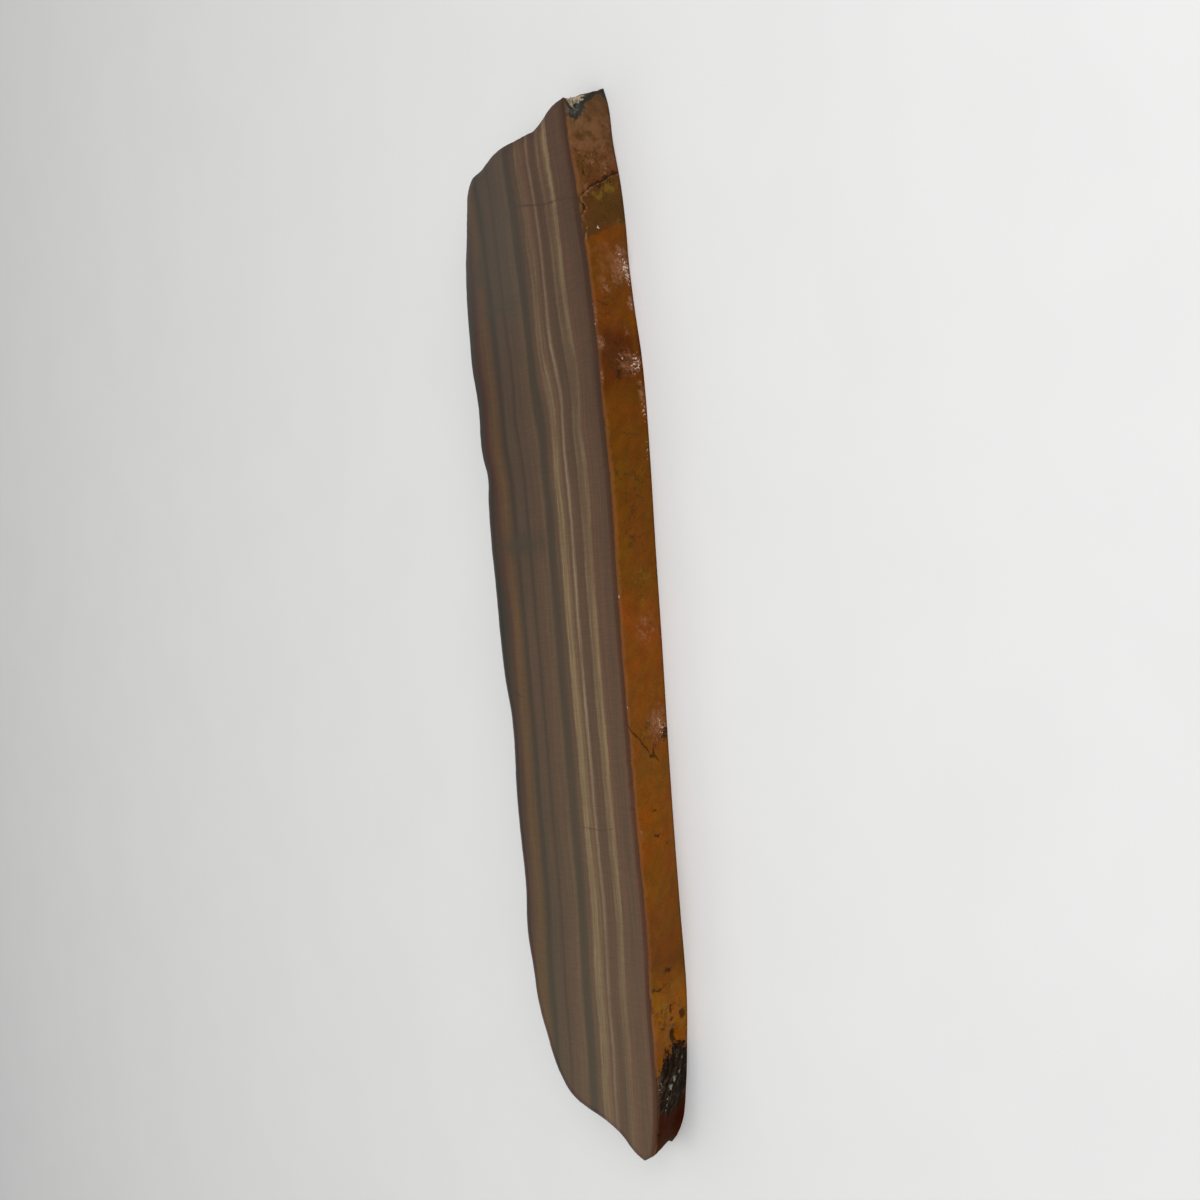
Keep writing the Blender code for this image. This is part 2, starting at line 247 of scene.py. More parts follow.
# Marks of the orange rim by kind: middle y, middle z, half length, half height, strength.
RIM_MARKS = {
    # Dark marks: pits and dark spots of the stone, and painted shade along the ledge, in the cavity above
    # the ore and in the nicks of the face edge.
    "dark": (
        (119.6, 7.4, 1.2, 1.1, 1.1),
        (121.4, 4.6, 1.2, 1.0, 1.1),
        (123.2, 2.4, 0.9, 0.9, 1.0),
        (120.4, 6.0, 1.6, 0.7, 0.8),
        (141.5, 12.1, 0.9, 0.9, 1.4),
        (143.6, 13.5, 1.7, 1.0, 1.7),
        (142.2, 13.6, 0.9, 0.8, 1.3),
        (141.0, 14.2, 0.9, 0.5, 1.1),
        (141.8, 10.2, 0.8, 0.4, 1.2),
        (142.6, 9.4, 0.7, 0.5, 0.9),
        (147.4, 0.6, 1.0, 1.2, 1.0),
        (134.0, 14.3, 2.5, 0.5, 0.7),
        (123.0, 11.6, 1.6, 0.5, 0.8),
        (120.6, 3.4, 1.7, 0.35, 0.9),
        (70.5, 5.5, 3.4, 4.2, 0.5),
        (76.3, 6.5, 1.5, 5.0, 0.45),
        (67.2, 8.0, 1.8, 1.3, 0.8),
        # the nicks in the face edge are darkened as painted shade
        *EDGE_NICKS,
        (-31.5, 1.0, 2.6, 1.6, 0.8),
        (-36.0, 5.6, 1.4, 0.5, 0.9),
        (-52.0, 7.3, 0.45, 1.3, 0.9),
        (-59.0, 6.7, 0.7, 2.0, 0.9),
        (-61.5, 3.2, 0.5, 0.9, 0.8),
        (-96.0, 6.5, 1.2, 2.4, 0.7),
        (-100.5, 11.5, 1.0, 2.6, 0.7),
        (-104.8, 14.0, 2.8, 0.8, 1.0),
        (-109.2, 2.0, 1.8, 1.4, 1.0),
        (-106.6, 6.6, 1.6, 0.5, 1.0),
        (-112.0, 9.6, 0.6, 1.4, 0.8),
        (-117.6, 9.6, 2.2, 0.5, 0.8),
        (-109.8, 6.3, 0.7, 1.1, 0.8),
        (-114.8, 5.4, 2.0, 1.2, 1.3),
        (-138.5, 12.8, 5.0, 0.8, 1.3),
    ),
    # Pale marks: pale quartz grains, with painted glints among them, as the small spot at y 107.4.
    "pale": (
        (107.4, 9.3, 0.5, 0.42, 1.4),
        (97.0, 1.8, 2.6, 2.2, 0.95),
        (94.2, 1.2, 2.4, 1.3, 1.05),
        (101.0, 3.5, 2.5, 2.0, 0.5),
        (87.0, 1.0, 1.6, 0.8, 0.7),
        (86.1, 14.1, 0.35, 0.3, 1.2),
        (80.7, 14.0, 0.35, 0.3, 1.1),
        (71.7, 5.4, 0.55, 0.55, 1.4),
        (70.0, 1.8, 3.2, 1.6, 0.85),
        (57.0, 1.0, 4.0, 0.8, 0.7),
        (46.5, 0.8, 4.0, 0.6, 0.6),
        (7.0, 13.7, 0.5, 0.3, 1.1),
        (-15.5, 13.7, 0.5, 0.35, 1.3),
        (-23.2, 13.9, 0.4, 0.3, 1.1),
        (-30.0, 2.0, 4.5, 1.8, 0.62),
    ),
    "pink": (
        (127.0, 9.0, 3.5, 2.5, 0.4),
        (118.0, 11.5, 2.4, 1.2, 0.6),
        (124.0, 5.0, 2.6, 2.0, 0.55),
        (129.5, 12.0, 2.4, 1.2, 0.4),
        (137.5, 9.0, 2.2, 2.2, 0.35),
        (91.0, 9.0, 3.2, 2.4, 0.5),
        (84.0, 13.6, 3.4, 0.8, 0.7),
        (79.5, 3.0, 2.2, 1.6, 0.5),
        (66.5, 13.6, 2.4, 0.8, 0.6),
        (100.8, 3.2, 2.6, 2.8, 0.7),
        (96.8, 3.5, 4.4, 3.4, 0.95),
        (93.2, 5.2, 2.2, 3.2, 0.6),
        (87.2, 1.4, 2.4, 1.2, 0.75),
        (75.5, 12.8, 2.0, 1.6, 0.95),
        (70.5, 3.5, 4.0, 4.0, 0.7),
        (62.0, 1.0, 4.5, 1.3, 0.6),
        (-2.0, 5.5, 5.0, 4.0, 0.5),
        (-28.5, 3.4, 4.5, 3.4, 0.95),
        (-57.5, 12.0, 2.2, 1.6, 0.45),
    ),
    "ochre": (
        (118.9, 3.6, 1.8, 3.0, 0.85),
        (116.4, 8.0, 1.6, 2.0, 0.55),
        (109.4, 2.5, 1.4, 2.4, 0.4),
        (12.0, 6.0, 3.2, 3.4, 0.4),
        (4.5, 5.8, 1.6, 1.4, 0.4),
        (-105.4, 9.0, 2.4, 1.6, 0.75),
        (-145.4, 13.6, 2.2, 1.0, 1.0),
    ),
    # Glints are painted highlights on the iron ore.
    "glint": (
        (-126.2, 6.7, 1.2, 0.8, 1.0),
        (-127.9, 8.5, 1.3, 0.8, 1.1),
        (-124.8, 4.2, 1.1, 0.7, 0.9),
        (-121.6, 3.0, 1.2, 0.6, 0.7),
        (-130.6, 9.6, 1.2, 0.6, 0.6),
        (-133.8, 9.6, 1.2, 0.7, 0.8),
        (-127.5, 12.6, 2.6, 1.2, 0.55),
    ),
    "vein": (
        (126.5, 7.5, 7.5, 9.0, 1.0),
        (113.5, 7.0, 5.0, 8.0, 0.5),
        (84.0, 11.0, 5.0, 4.0, 0.9),
        (71.5, 6.0, 6.0, 7.5, 0.9),
        (30.0, 7.0, 32.0, 9.0, 0.45),
        (-31.0, 6.0, 6.0, 5.0, 0.6),
        (-107.0, 8.0, 10.0, 8.0, 0.6),
    ),
    "wisp": ((134.0, 7.5, 8.0, 9.0, 1.0), (98.0, 8.0, 7.0, 6.0, 0.6)),
}
# Patches of the orange rim with a drawn border: (y, z) corners.
ORE_PATCH = (
    (-116.1, 4.8),
    (-118.5, 9.1),
    (-120.5, 10.9),
    (-124.0, 13.7),
    (-129.3, 14.6),
    (-133.0, 14.4),
    (-135.9, 9.4),
    (-135.4, 2.7),
    (-130.2, 0.4),
    (-121.7, -0.4),
    (-117.0, 1.2),
)
ROCK_PATCH = (
    (139.0, 15.2),
    (137.7, 11.2),
    (140.3, 8.4),
    (143.3, 6.4),
    (145.7, 3.7),
    (145.9, 1.7),
    (144.6, 0.3),
    (144.6, -1.0),
    (150.5, -1.0),
    (150.5, 16.0),
    (140.0, 16.0),
)
CREAM_PATCH = (
    (149.0, 13.2),
    (144.7, 12.9),
    (143.4, 12.0),
    (141.4, 11.6),
    (141.1, 10.8),
    (143.3, 10.6),
    (143.1, 8.6),
    (145.6, 6.4),
    (149.0, 5.6),
)

# Name, corners and softness of each patch that is painted, and the softness of the ore's relief.
PATCHES = (("ore", ORE_PATCH, 2.0), ("rock", ROCK_PATCH, 1.6), ("cream", CREAM_PATCH, 0.8))
ORE_RELIEF_SOFT = 0.6

# The bands bend a little along the slab: where each one lies, in millimetres from the orange edge.
TRACK_Y = (140.0, 125.0, 108.0, 95.0, 86.0, 78.0, 70.0, 62.0, 54.0, 45.0, 30.0, 5.0, -20.0, -60.0, -95.0)
TRACKS = (
    # place in the drawing of the bands, then the place at each TRACK_Y
    (10.2, (9.8, 10.0, 10.4, 11.4, 11.0, 10.3, 9.5, 9.7, 10.7, 10.1, 10.0, 10.2, 10.3, 10.2, 10.8)),
    (12.5, (14.0, 14.3, 14.1, 14.8, 14.7, 14.0, 13.0, 12.5, 13.3, 13.2, 12.9, 12.5, 12.5, 12.1, 12.3)),
    (18.1, (19.0, 19.2, 19.1, 20.0, 20.5, 20.2, 18.8, 17.8, 18.4, 18.7, 18.2, 18.2, 18.0, 17.8, 18.0)),
    (21.4, (22.2, 22.3, 22.5, 23.3, 24.3, 24.3, 23.0, 21.5, 21.7, 22.4, 21.8, 21.6, 21.3, 21.2, 20.9)),
    (22.9, (24.2, 24.5, 24.8, 25.2, 25.5, 25.7, 24.7, 23.0, 23.0, 23.7, 23.4, 23.0, 22.6, 22.4, 23.0)),
    (24.4, (25.6, 26.0, 26.2, 26.7, 27.0, 27.1, 26.2, 24.5, 24.3, 25.2, 24.7, 24.3, 24.0, 23.8, 24.5)),
    (30.4, (31.6, 32.0, 32.7, 33.0, 32.8, 32.8, 32.9, 32.6, 31.0, 31.2, 30.8, 30.4, 30.3, 30.4, 30.9)),
    (37.8, (39.5, 39.4, 40.0, 40.5, 40.5, 40.1, 40.0, 40.5, 39.9, 39.1, 38.8, 38.0, 37.7, 37.8, 38.1)),
    (43.7, (45.5, 45.5, 45.9, 46.7, 46.7, 46.7, 46.5, 46.3, 46.4, 45.4, 44.8, 43.9, 43.5, 43.7, 44.4)),
    (47.7, (49.5, 49.7, 50.4, 51.3, 51.7, 51.6, 51.0, 51.0, 51.2, 50.0, 49.7, 47.8, 47.7, 48.3, 49.5)),
)
BAND_SPAN = 60.0  # millimetres that the drawing of the bands covers
STRAIGHT_BELOW = -130.0  # below this y the bands run on straight
STRAIGHT_SPAN = 20.0  # millimetres of y above it that give their direction

# Bands behind the bright stripes: what each is, place in millimetres, colour name, brightness.
BANDS = (
    ("rim brown", 0.0, "brown", 1.04),
    ("rim brown, inner", 5.0, "brown", 1.06),
    ("rim brown, lighter", 7.2, "brown", 1.12),
    ("before the outer line", 8.9, "brown", 1.24),
    ("seam", 13.5, "brown", 0.88),
    ("seam, inner", 15.4, "brown", 0.92),
    ("before the fine line", 16.8, "brown", 1.05),
    ("after the fine line", 19.3, "brown", 1.18),
    ("after the wide stripe", 24.4, "brown", 1.0),
    ("tan edge", 25.2, "tan", 1.10),
    ("slate, right", 26.3, "slate", 1.45),
    ("slate", 27.4, "slate", 1.05),
    ("slate, left", 28.9, "slate", 1.20),
    ("tan line, right", 29.6, "tan", 0.95),
    ("tan line", 30.4, "tan", 1.42),
    ("tan", 31.4, "tan", 1.12),
    ("brown, middle", 33.4, "brown", 0.98),
    ("brown, far", 35.0, "brown", 0.83),
    ("brown, far side", 36.7, "brown", 0.80),
    ("red line", 37.8, "maroon", 1.5),
    ("brown, second", 39.0, "brown", 0.72),
    ("brown, third", 40.3, "brown", 0.82),
    ("brown, last", 42.2, "brown", 0.72),
    ("dark line", 43.7, "maroon", 0.9),
    ("dark line, left", 44.5, "maroon", 1.2),
    ("amber, right", 45.8, "amber", 0.68),
    ("amber", 47.7, "amber", 1.02),
    ("amber, left", 49.2, "amber", 0.86),
    ("dark seam", 50.8, "maroon", 1.9),
    ("dark seam, left", 52.2, "maroon", 1.4),
    ("crust", 53.8, "crust", 1.0),
)
# Bright fibre stripes: name, colour name, (place, share of its strength) across it, and its
# strength at each SHINE_Y along it.
SHINE_Y = (140.0, 128.0, 116.0, 104.0, 94.0, 86.0, 78.0, 70.0, 62.0, 54.0, 45.0, 35.0, 25.0, 15.0, 5.0)
SHINE_Y += (-10.0, -25.0, -40.0, -55.0, -70.0, -85.0, -100.0, -120.0, -148.0)
STRIPES = (
    (
        "outer_line",
        "gold",
        ((8.9, 0.0), (9.6, 0.75), (10.1, 1.0), (10.5, 0.75), (11.1, 0.12), (11.5, 0.0)),
        (0.95, 0.95, 0.68, 0.68, 0.74, 0.64, 0.52, 0.34, 0.35, 0.44, 0.56, 0.50)
        + (0.44, 0.49, 0.68, 0.82, 0.97, 1.30, 0.95, 0.80, 0.60, 0.50, 0.35, 0.20),
    ),
    (
        "outer_shoulder",
        "gold",
        ((10.3, 0.0), (10.9, 1.0), (11.6, 1.0), (12.2, 0.5), (12.7, 0.0)),
        (0.07, 0.07, 0.10, 0.13, 0.15, 0.13, 0.14, 0.12, 0.13, 0.16, 0.17, 0.17)
        + (0.21, 0.21, 0.30, 0.40, 0.45, 0.45, 0.38, 0.42, 0.38, 0.30, 0.18, 0.10),
    ),
    (
        "inner_line",
        "gold",
        ((11.8, 0.0), (12.3, 0.8), (12.6, 1.0), (12.9, 0.6), (13.4, 0.0)),
        (0.34, 0.42, 0.32, 0.28, 0.30, 0.32, 0.34, 0.26, 0.26, 0.32, 0.32, 0.34)
        + (0.42, 0.42, 0.54, 0.52, 0.50, 0.46, 0.38, 0.36, 0.30, 0.28, 0.20, 0.12),
    ),
    (
        "fine_line",
        "pale_gold",
        ((16.7, 0.0), (17.4, 0.5), (17.9, 1.0), (18.3, 0.65), (18.6, 0.12), (18.9, 0.0)),
        (0.60, 0.62, 0.45, 0.57, 0.57, 0.64, 0.75, 0.80, 0.76, 0.74, 0.87, 0.87)
        + (0.82, 1.20, 1.02, 0.85, 1.20, 1.12, 0.77, 0.75, 0.70, 0.65, 0.60, 0.50),
    ),
    (
        "shoulder",
        "gold",
        ((18.7, 0.0), (19.4, 0.35), (20.1, 0.9), (20.7, 1.0), (21.3, 0.0)),
        (0.05, 0.05, 0.06, 0.12, 0.12, 0.12, 0.15, 0.22, 0.24, 0.20, 0.20, 0.22)
        + (0.25, 0.30, 0.34, 0.42, 0.47, 0.50, 0.48, 0.40, 0.42, 0.40, 0.35, 0.30),
    ),
    (
        "right_crest",
        "gold",
        ((20.7, 0.0), (21.3, 1.0), (21.6, 1.0), (22.1, 0.2), (22.4, 0.0)),
        (0.25, 0.20, 0.26, 0.33, 0.27, 0.32, 0.44, 0.56, 0.57, 0.54, 0.76, 0.84)
        + (0.88, 0.90, 1.06, 1.15, 1.22, 1.15, 1.00, 0.90, 0.80, 0.70, 0.60, 0.50),
    ),
    (
        "middle",
        "gold",
        ((21.5, 0.0), (22.0, 1.0), (22.3, 1.0), (22.8, 0.0)),
        (0.16, 0.15, 0.16, 0.15, 0.15, 0.20, 0.25, 0.22, 0.30, 0.36, 0.42, 0.42)
        + (0.50, 0.50, 0.54, 0.62, 0.80, 0.80, 0.70, 0.72, 0.68, 0.60, 0.50, 0.40),
    ),
    (
        "left_crest",
        "gold",
        ((22.3, 0.0), (22.8, 1.0), (23.1, 1.0), (23.5, 0.5), (24.0, 0.1), (24.4, 0.0)),
        (0.30, 0.26, 0.30, 0.34, 0.31, 0.36, 0.52, 0.60, 0.68, 0.60, 0.66, 0.82)
        + (0.76, 0.76, 0.80, 0.92, 1.12, 0.96, 0.90, 0.85, 0.80, 0.70, 0.60, 0.50),
    ),
)
# How bright the bands are along the slab, and how much more the middle ones change than the rest.
TONE_Y = (128.0, 110.0, 60.0, 45.0, 30.0, 12.0)
TONE = (0.90, 0.86, 0.87, 0.90, 0.95, 1.0)
TONE_BANDS = (1.0, 8.0, 24.0, 26.0, 43.0, 47.0)
TONE_SHARE = (2.2, 1.2, 0.9, 1.3, 1.0, 0.5)
# Grey clouds of the face: band place, y, half width, half length, strength.
CLOUDS = (
    (42.0, 24.5, 10.0, 3.2, 0.8),
    (40.0, 94.0, 8.0, 2.6, 0.5),
    (47.5, 106.0, 3.0, 5.0, 0.6),
    (36.0, 128.0, 5.0, 4.0, 0.3),
)
PAINTED_SHEEN_STRENGTH = 0.34  # of the painted cool reflection over the far upper part of the face
# The painted shade along the polished edge is wider where this share of the true distance is smaller.
EDGE_SHADE_Y = (-20.0, 30.0, 60.0, 90.0, 140.0)
EDGE_SHADE = (1.0, 0.85, 0.45, 0.5, 0.7)
# Hairline cracks across the face: (band place, y) points from the rim inwards, and the strength.
HAIRLINES = (
    ((0.0, 4.0, 12.0, 18.0, 27.5), (115.6, 116.6, 117.6, 118.6, 121.1), 1.0),
    ((34.0, 44.0, 50.0), (92.5, 94.5, 94.0), 0.5),
    ((0.4, 1.6, 3.2), (43.2, 42.6, 42.2), 1.0),
    ((48.5, 52.0, 56.0), (-19.8, -18.6, -18.9), 0.8),
    ((10.0, 17.0, 24.5), (-56.6, -57.4, -57.0), 0.5),
)
HAIRLINE_FADE = 2.5  # how far past its ends a hairline dies away

PALETTE = {
    "brown": (0.0765, 0.0235, 0.0120),
    "tan": (0.0680, 0.0260, 0.0125),
    "maroon": (0.0245, 0.0015, 0.0003),
    "slate": (0.0310, 0.0075, 0.0040),
    "amber": (0.0860, 0.0260, 0.0030),
    "crust": (0.0120, 0.0030, 0.0010),
    "gold": (0.2080, 0.1290, 0.0600),
    "pale_gold": (0.2080, 0.1340, 0.0800),
}
# Zones of the orange rim from the lower end up: what each is, y, colour.
RIM_ZONES = (
    ("broken corner", -148.0, (0.0480, 0.0110, 0.0000)),
    # the red-brown end is partly painted shade, darker than the stone itself
    ("red-brown end", -139.0, (0.0280, 0.0010, 0.0000)),
    ("below the ore", -131.0, (0.0400, 0.0060, 0.0000)),
    ("golden crust, low", -119.0, (0.1600, 0.0460, 0.0004)),
    ("golden crust", -108.0, (0.2150, 0.0660, 0.0004)),
    ("golden crust, top", -101.0, (0.1800, 0.0580, 0.0010)),
    ("brownish orange", -94.0, (0.1150, 0.0330, 0.0006)),
    ("gold-orange, low", -78.0, (0.1500, 0.0430, 0.0002)),
    ("gold-orange", -55.0, (0.1780, 0.0480, 0.0000)),
    ("orange", -36.0, (0.1500, 0.0465, 0.0030)),
    ("orange-red", -14.0, (0.1640, 0.0430, 0.0024)),
    ("orange-red, middle", 0.0, (0.1680, 0.0430, 0.0028)),
    ("smooth brown, low", 12.0, (0.1320, 0.0395, 0.0014)),
    ("smooth brown", 35.0, (0.1180, 0.0365, 0.0006)),
    ("smooth brown, top", 60.0, (0.1160, 0.0330, 0.0004)),
    ("hollow", 68.5, (0.0780, 0.0145, 0.0000)),
    ("hollow, top", 77.0, (0.0780, 0.0145, 0.0000)),
    ("swelling, low", 82.5, (0.1250, 0.0330, 0.0010)),
    ("swelling", 98.0, (0.1140, 0.0290, 0.0006)),
    ("swelling, border", 105.4, (0.1280, 0.0340, 0.0010)),
    ("brown panel", 106.8, (0.0680, 0.0250, 0.0048)),
    ("brown panel, top", 118.8, (0.0760, 0.0280, 0.0052)),
    ("red-brown veins", 120.6, (0.0980, 0.0310, 0.0070)),
    ("red-brown, top", 128.0, (0.0960, 0.0325, 0.0080)),
    ("waxy brown", 133.0, (0.0700, 0.0290, 0.0078)),
    ("waxy brown, top", 144.0, (0.0740, 0.0370, 0.0130)),
)
ZONE_SPAN = 300.0  # millimetres of y that the drawing of the zones covers, half of them below zero
# Slanting borders of the orange rim: z and y of each, the y that it straightens to, and its reach.
SLANTS = (
    (LEDGE_Z, LEDGE_Y, 119.7, 6.0),
    ((0.0, 2.6, 8.5, 12.1, 14.5), (110.8, 109.5, 106.4, 104.5, 102.6), 106.4, 5.0),
)

# Where painted masks fade in: the values at which each starts and is full.
SIDE_TURN = (0.35, 0.85)  # how far the rim looks along x before it counts as a long side
PAINTED_SHEEN_Y = (66.0, 112.0)
PAINTED_SHEEN_BANDS = (20.0, 36.0)
BROKEN_X = (3.0, 9.0)  # the broken lower corner
BROKEN_Y = (-131.0, -135.0)
LIP_Y = (100.0, 103.0)

# Shades that aren't settings, and tints that a colour is multiplied by.
CLOUD_GREY = (0.030, 0.0110, 0.0060)
# colour of the painted cool reflection on the face
PAINTED_SHEEN_COLOUR = (0.067, 0.060, 0.050)
SKIN_LIGHT = (0.085, 0.040, 0.014)
ORE_LIGHT = (0.046, 0.031, 0.025)
ROCK_LIGHT = (0.085, 0.090, 0.082)
ROCK_DARK = (0.022, 0.0135, 0.007)
BORDER_ROCK = 0.5  # brightness of the rock near its border
REDDISH = (1.06, 0.92, 0.93)
YELLOWISH = (0.96, 1.07, 0.9)
END_TINT = (1.5, 1.55, 1.7)
BACK_TINT = (1.9, 2.0, 2.2)
CREAM_STOPS = ((0.35, 0.35), (0.5, 1.0), (0.65, 1.35))  # noise value and brightness of the cream

# Gloss and bumps: tint and level of the mirrored light, and distance and strength of each bump.
QUARTZ_IOR = 1.54
FACE_GLOSS = (0.90, 1.0, 0.74)
RIM_GLOSS = (1.0, 0.74, 0.26)
RIM_GLOSS_LEVEL = 0.16
BACK_GLOSS_LEVEL = 0.3
END_ROUGHNESS = 0.72
FACE_BUMP = (0.04 * MM, 0.6)
RIM_BUMP = (0.16 * MM, 0.7)
BACK_BUMP = (0.12 * MM, 0.6)
QUARTZ_HEIGHT = 1.6  # how much higher than the fine grain the granular quartz stands
COARSE_HEIGHT = 2.4  # the same for the ore and the broken corner
# What raises or lowers the rim's bumps, and how much, and the roughness that each mark brings.
HEIGHTS = (
    ("pits", "ADD", 0.5),
    ("pale", "ADD", 0.5),
    ("crack", "SUBTRACT", 1.2),
    ("dark", "SUBTRACT", 0.5),
)
ROUGHNESSES = {"ore": 0.85, "pale": 0.22, "glint": 0.2, "dark": 0.8, "crack": 0.8, "broken": 1.0}

# Noises: size in millimetres, stretch along x, y and z, detail, shift and roughness.
EVEN = (1.0, 1.0, 1.0)
NOISES = {
    "band_wander": (2.2, (2.0, 1.0, 1.0), 3.0, 3.7, 0.55),
    "slow_wander": (11.0, (1.0, 1.3, 1.0), 2.0, 9.1, 0.55),
    "layers": (0.5, EVEN, 4.0, 1.3, 0.55),
    "broad_layers": (2.2, EVEN, 2.0, 5.3, 0.55),
    "fibres": (0.32, (14.0, 1.0, 1.0), 3.0, 2.2, 0.55),
    "patches": (6.0, (1.0, 2.4, 1.0), 3.0, 6.4, 0.55),
    "threads": (0.36, EVEN, 3.0, 3.3, 0.55),
    "line_waver": (0.8, EVEN, 5.0, 4.4, 0.65),
    "line_gaps": (1.6, EVEN, 3.0, 7.1, 0.55),
    "painted_edge_shade": (1.1, EVEN, 3.0, 8.0, 0.55),
    "smudges": (14.0, EVEN, 4.0, 7.7, 0.55),
    "zones": (4.0, EVEN, 5.0, 2.0, 0.62),
    "clouds": (7.5, (1.0, 1.3, 0.8), 5.0, 3.0, 0.58),
    "mottle": (3.6, (1.0, 1.3, 0.75), 5.0, 5.0, 0.6),
    "specks": (0.55, EVEN, 3.0, 6.0, 0.55),
    "veins": (3.4, EVEN, 4.0, 24.0, 0.6),
    "wisps": (5.0, EVEN, 4.0, 27.0, 0.6),
    "crumbs": (0.85, EVEN, 5.0, 33.0, 0.68),
    "ore_streaks": (1.5, (1.0, 2.2, 0.7), 5.0, 36.0, 0.66),
    "rock_border": (0.8, EVEN, 3.0, 12.0, 0.55),
    "skin": (9.0, (1.0, 2.2, 0.7), 6.0, 15.0, 0.65),
    "skin_specks": (1.1, EVEN, 4.0, 16.0, 0.55),
    "skin_patches": (4.0, EVEN, 4.0, 18.0, 0.55),
    "fine_grain": (0.42, EVEN, 3.0, 21.0, 0.55),
    "pits": (1.0, EVEN, 2.0, 23.0, 0.55),
    "dust": (10.0, (1.0, 2.0, 1.0), 5.0, 31.0, 0.55),
    "saw_arcs": (1.1, EVEN, 4.0, 0.4, 0.55),
    "cream": (1.4, EVEN, 3.0, 41.0, 0.55),
    "floor": (40.0, EVEN, 2.0, 0.0, 0.55),
}
CRINKLES = {"Detail": 6.0, "Roughness": 0.66}  # the noise that crinkles the edges of marks
# What becomes of a noise, a mask or a height in millimetres: its low and high ends, and the
# strength, brightness or roughness that each end turns into.
RANGES = {
    "layers": (0.3, 0.7, 0.84, 1.16),
    "broad_layers": (0.3, 0.7, 0.88, 1.12),
    "patches": (0.3, 0.7, 0.86, 1.12),
    "threads": (0.36, 0.64, 0.58, 1.34),
    "crinkles": (0.32, 0.68, -0.5, 0.5),
    "faint_marks": (0.06, 0.3, 0.0, 1.0),
    "line_waver": (0.3, 0.7, 0.4, 1.6),
    "line_gaps": (0.38, 0.56, 0.0, 1.0),
    "line_shape": (1.0, 0.3, 0.0, 1.0),
    "painted_edge_shade": (0.3, 1.6, 0.7, 1.0),
    "smudges": (0.3, 0.75, 0.07, 0.13),
    "clouds": (0.36, 0.64, 0.0, 1.0),
    "mottle": (0.3, 0.7, 0.86, 1.13),
    "specks": (0.3, 0.7, 0.9, 1.1),
    "veins": (0.0, 0.04, 1.0, 0.0),
    "wisps": (0.0, 0.16, 1.0, 0.0),
    "crumbs": (0.36, 0.66, 0.12, 0.95),
    "ore_streaks": (0.48, 0.64, 0.0, 1.0),
    "ore_foot": (1.0, 7.0, 0.1, 1.0),
    "rock_inside": (0.84, 1.05, 0.0, 1.0),
    "rock_crumbs": (0.50, 0.62, 0.0, 1.0),
    "under_face": (THICKNESS - 0.75, THICKNESS - 0.25, 0.0, 1.0),
    "lit_edge": (THICKNESS - 1.9, THICKNESS - 1.1, 0.0, 0.2),
    "rim_foot_shade": (0.1, 1.0, 0.75, 1.0),
    "skin": (0.36, 0.68, 0.0, 1.0),
    "skin_specks": (0.3, 0.7, 0.6, 1.35),
    "skin_patches": (0.5, 0.7, 0.0, 1.0),
    "side_border": (0.3, 0.7, 0.0, 1.0),
    "rim_roughness": (0.25, 0.75, 0.34, 0.5),
    "grain_height": (0.0, 1.0, 1.3, 0.32),
    "pits": (0.30, 0.42, -1.0, 0.0),
    "dust": (0.3, 0.8, 0.16, 0.42),
    "dust_roughness": (0.3, 0.7, 0.55, 0.78),
    "saw_arcs": (0.3, 0.7, 0.86, 1.12),
    "back_edge": (0.0, 1.4, 0.55, 1.0),
    "cream_roughness": (0.3, 0.7, 0.2, 0.4),
    "floor": (0.3, 0.7, 0.0, 1.0),
}
# How far noise moves a border or a line, in its own measure.
SWAYS = {
    "slow_wander": 0.35,
    "lines": 1.5,
    "painted_edge_shade": 0.6,
    "zones": 8.0,
    "rock_border": 0.9,
    "upper_edge": 1.6,
    "side_border": 1.4,
}
# Edges of the marks: size of their crinkles in millimetres, how ragged, where cut off, how softly.
MARK_EDGES = {
    "pink": (1.5, 0.9, 0.5, 0.3),
    "ochre": (1.6, 1.2, 0.5, 0.35),
    "dark": (1.0, 0.8, 0.55, 0.16),
    "pale": (0.7, 1.5, 0.9, 0.14),
    "ore": (1.3, 1.2, 0.5, 0.2),
    "glint": (0.75, 1.1, 0.7, 0.12),
    "rock": (1.3, 0.5, 0.5, 0.12),
    "cream": (0.9, 0.7, 0.5, 0.3),
    "vein": (3.5, 0.9, 0.5, 0.3),
    "wisp": (4.0, 0.8, 0.5, 0.4),
}
# How fully a mark's colour covers the stone under it.
COATS = {
    "hairline": 0.7,
    "veins": 0.75,
    "wisps": 0.36,
    "ochre": 0.62,
    "dark": 0.85,
    "lip": 0.6,
    "crack": 0.85,
    "under_face": 0.55,
}
LAYER_RUN = 0.03  # how fast the layers change along the slab, next to across it
CLOUD_TURN = (0.6, 0.0, 0.0)  # radians that the clouds of the rim lean over
SAW_MIDDLE = (330.0, -60.0, 0.0)  # shift that brings the middle of the saw's arcs to zero
# Waver and fibre strength of the bands on each side, and the lines: width, gaps and lip.
FACE_BANDS = {"Waver": 0.7, "Fibre": 0.8}
END_BANDS = {"Waver": 2.2, "Fibre": 0.7}
BACK_BANDS = {"Waver": 1.0, "Fibre": 0.5}
HAIRLINE = {"Width": 0.42}
RIM_CRACK = {"Width": 0.42, "Gaps": 0.25}
CRACK_LIP = {"Width": 0.3, "Gaps": 1.0}
LIP_OFFSET = 0.5  # millimetres that the painted highlight on the lip lies above its crack
FLOAT, COLOUR, VECTOR = "NodeSocketFloat", "NodeSocketColor", "NodeSocketVector"

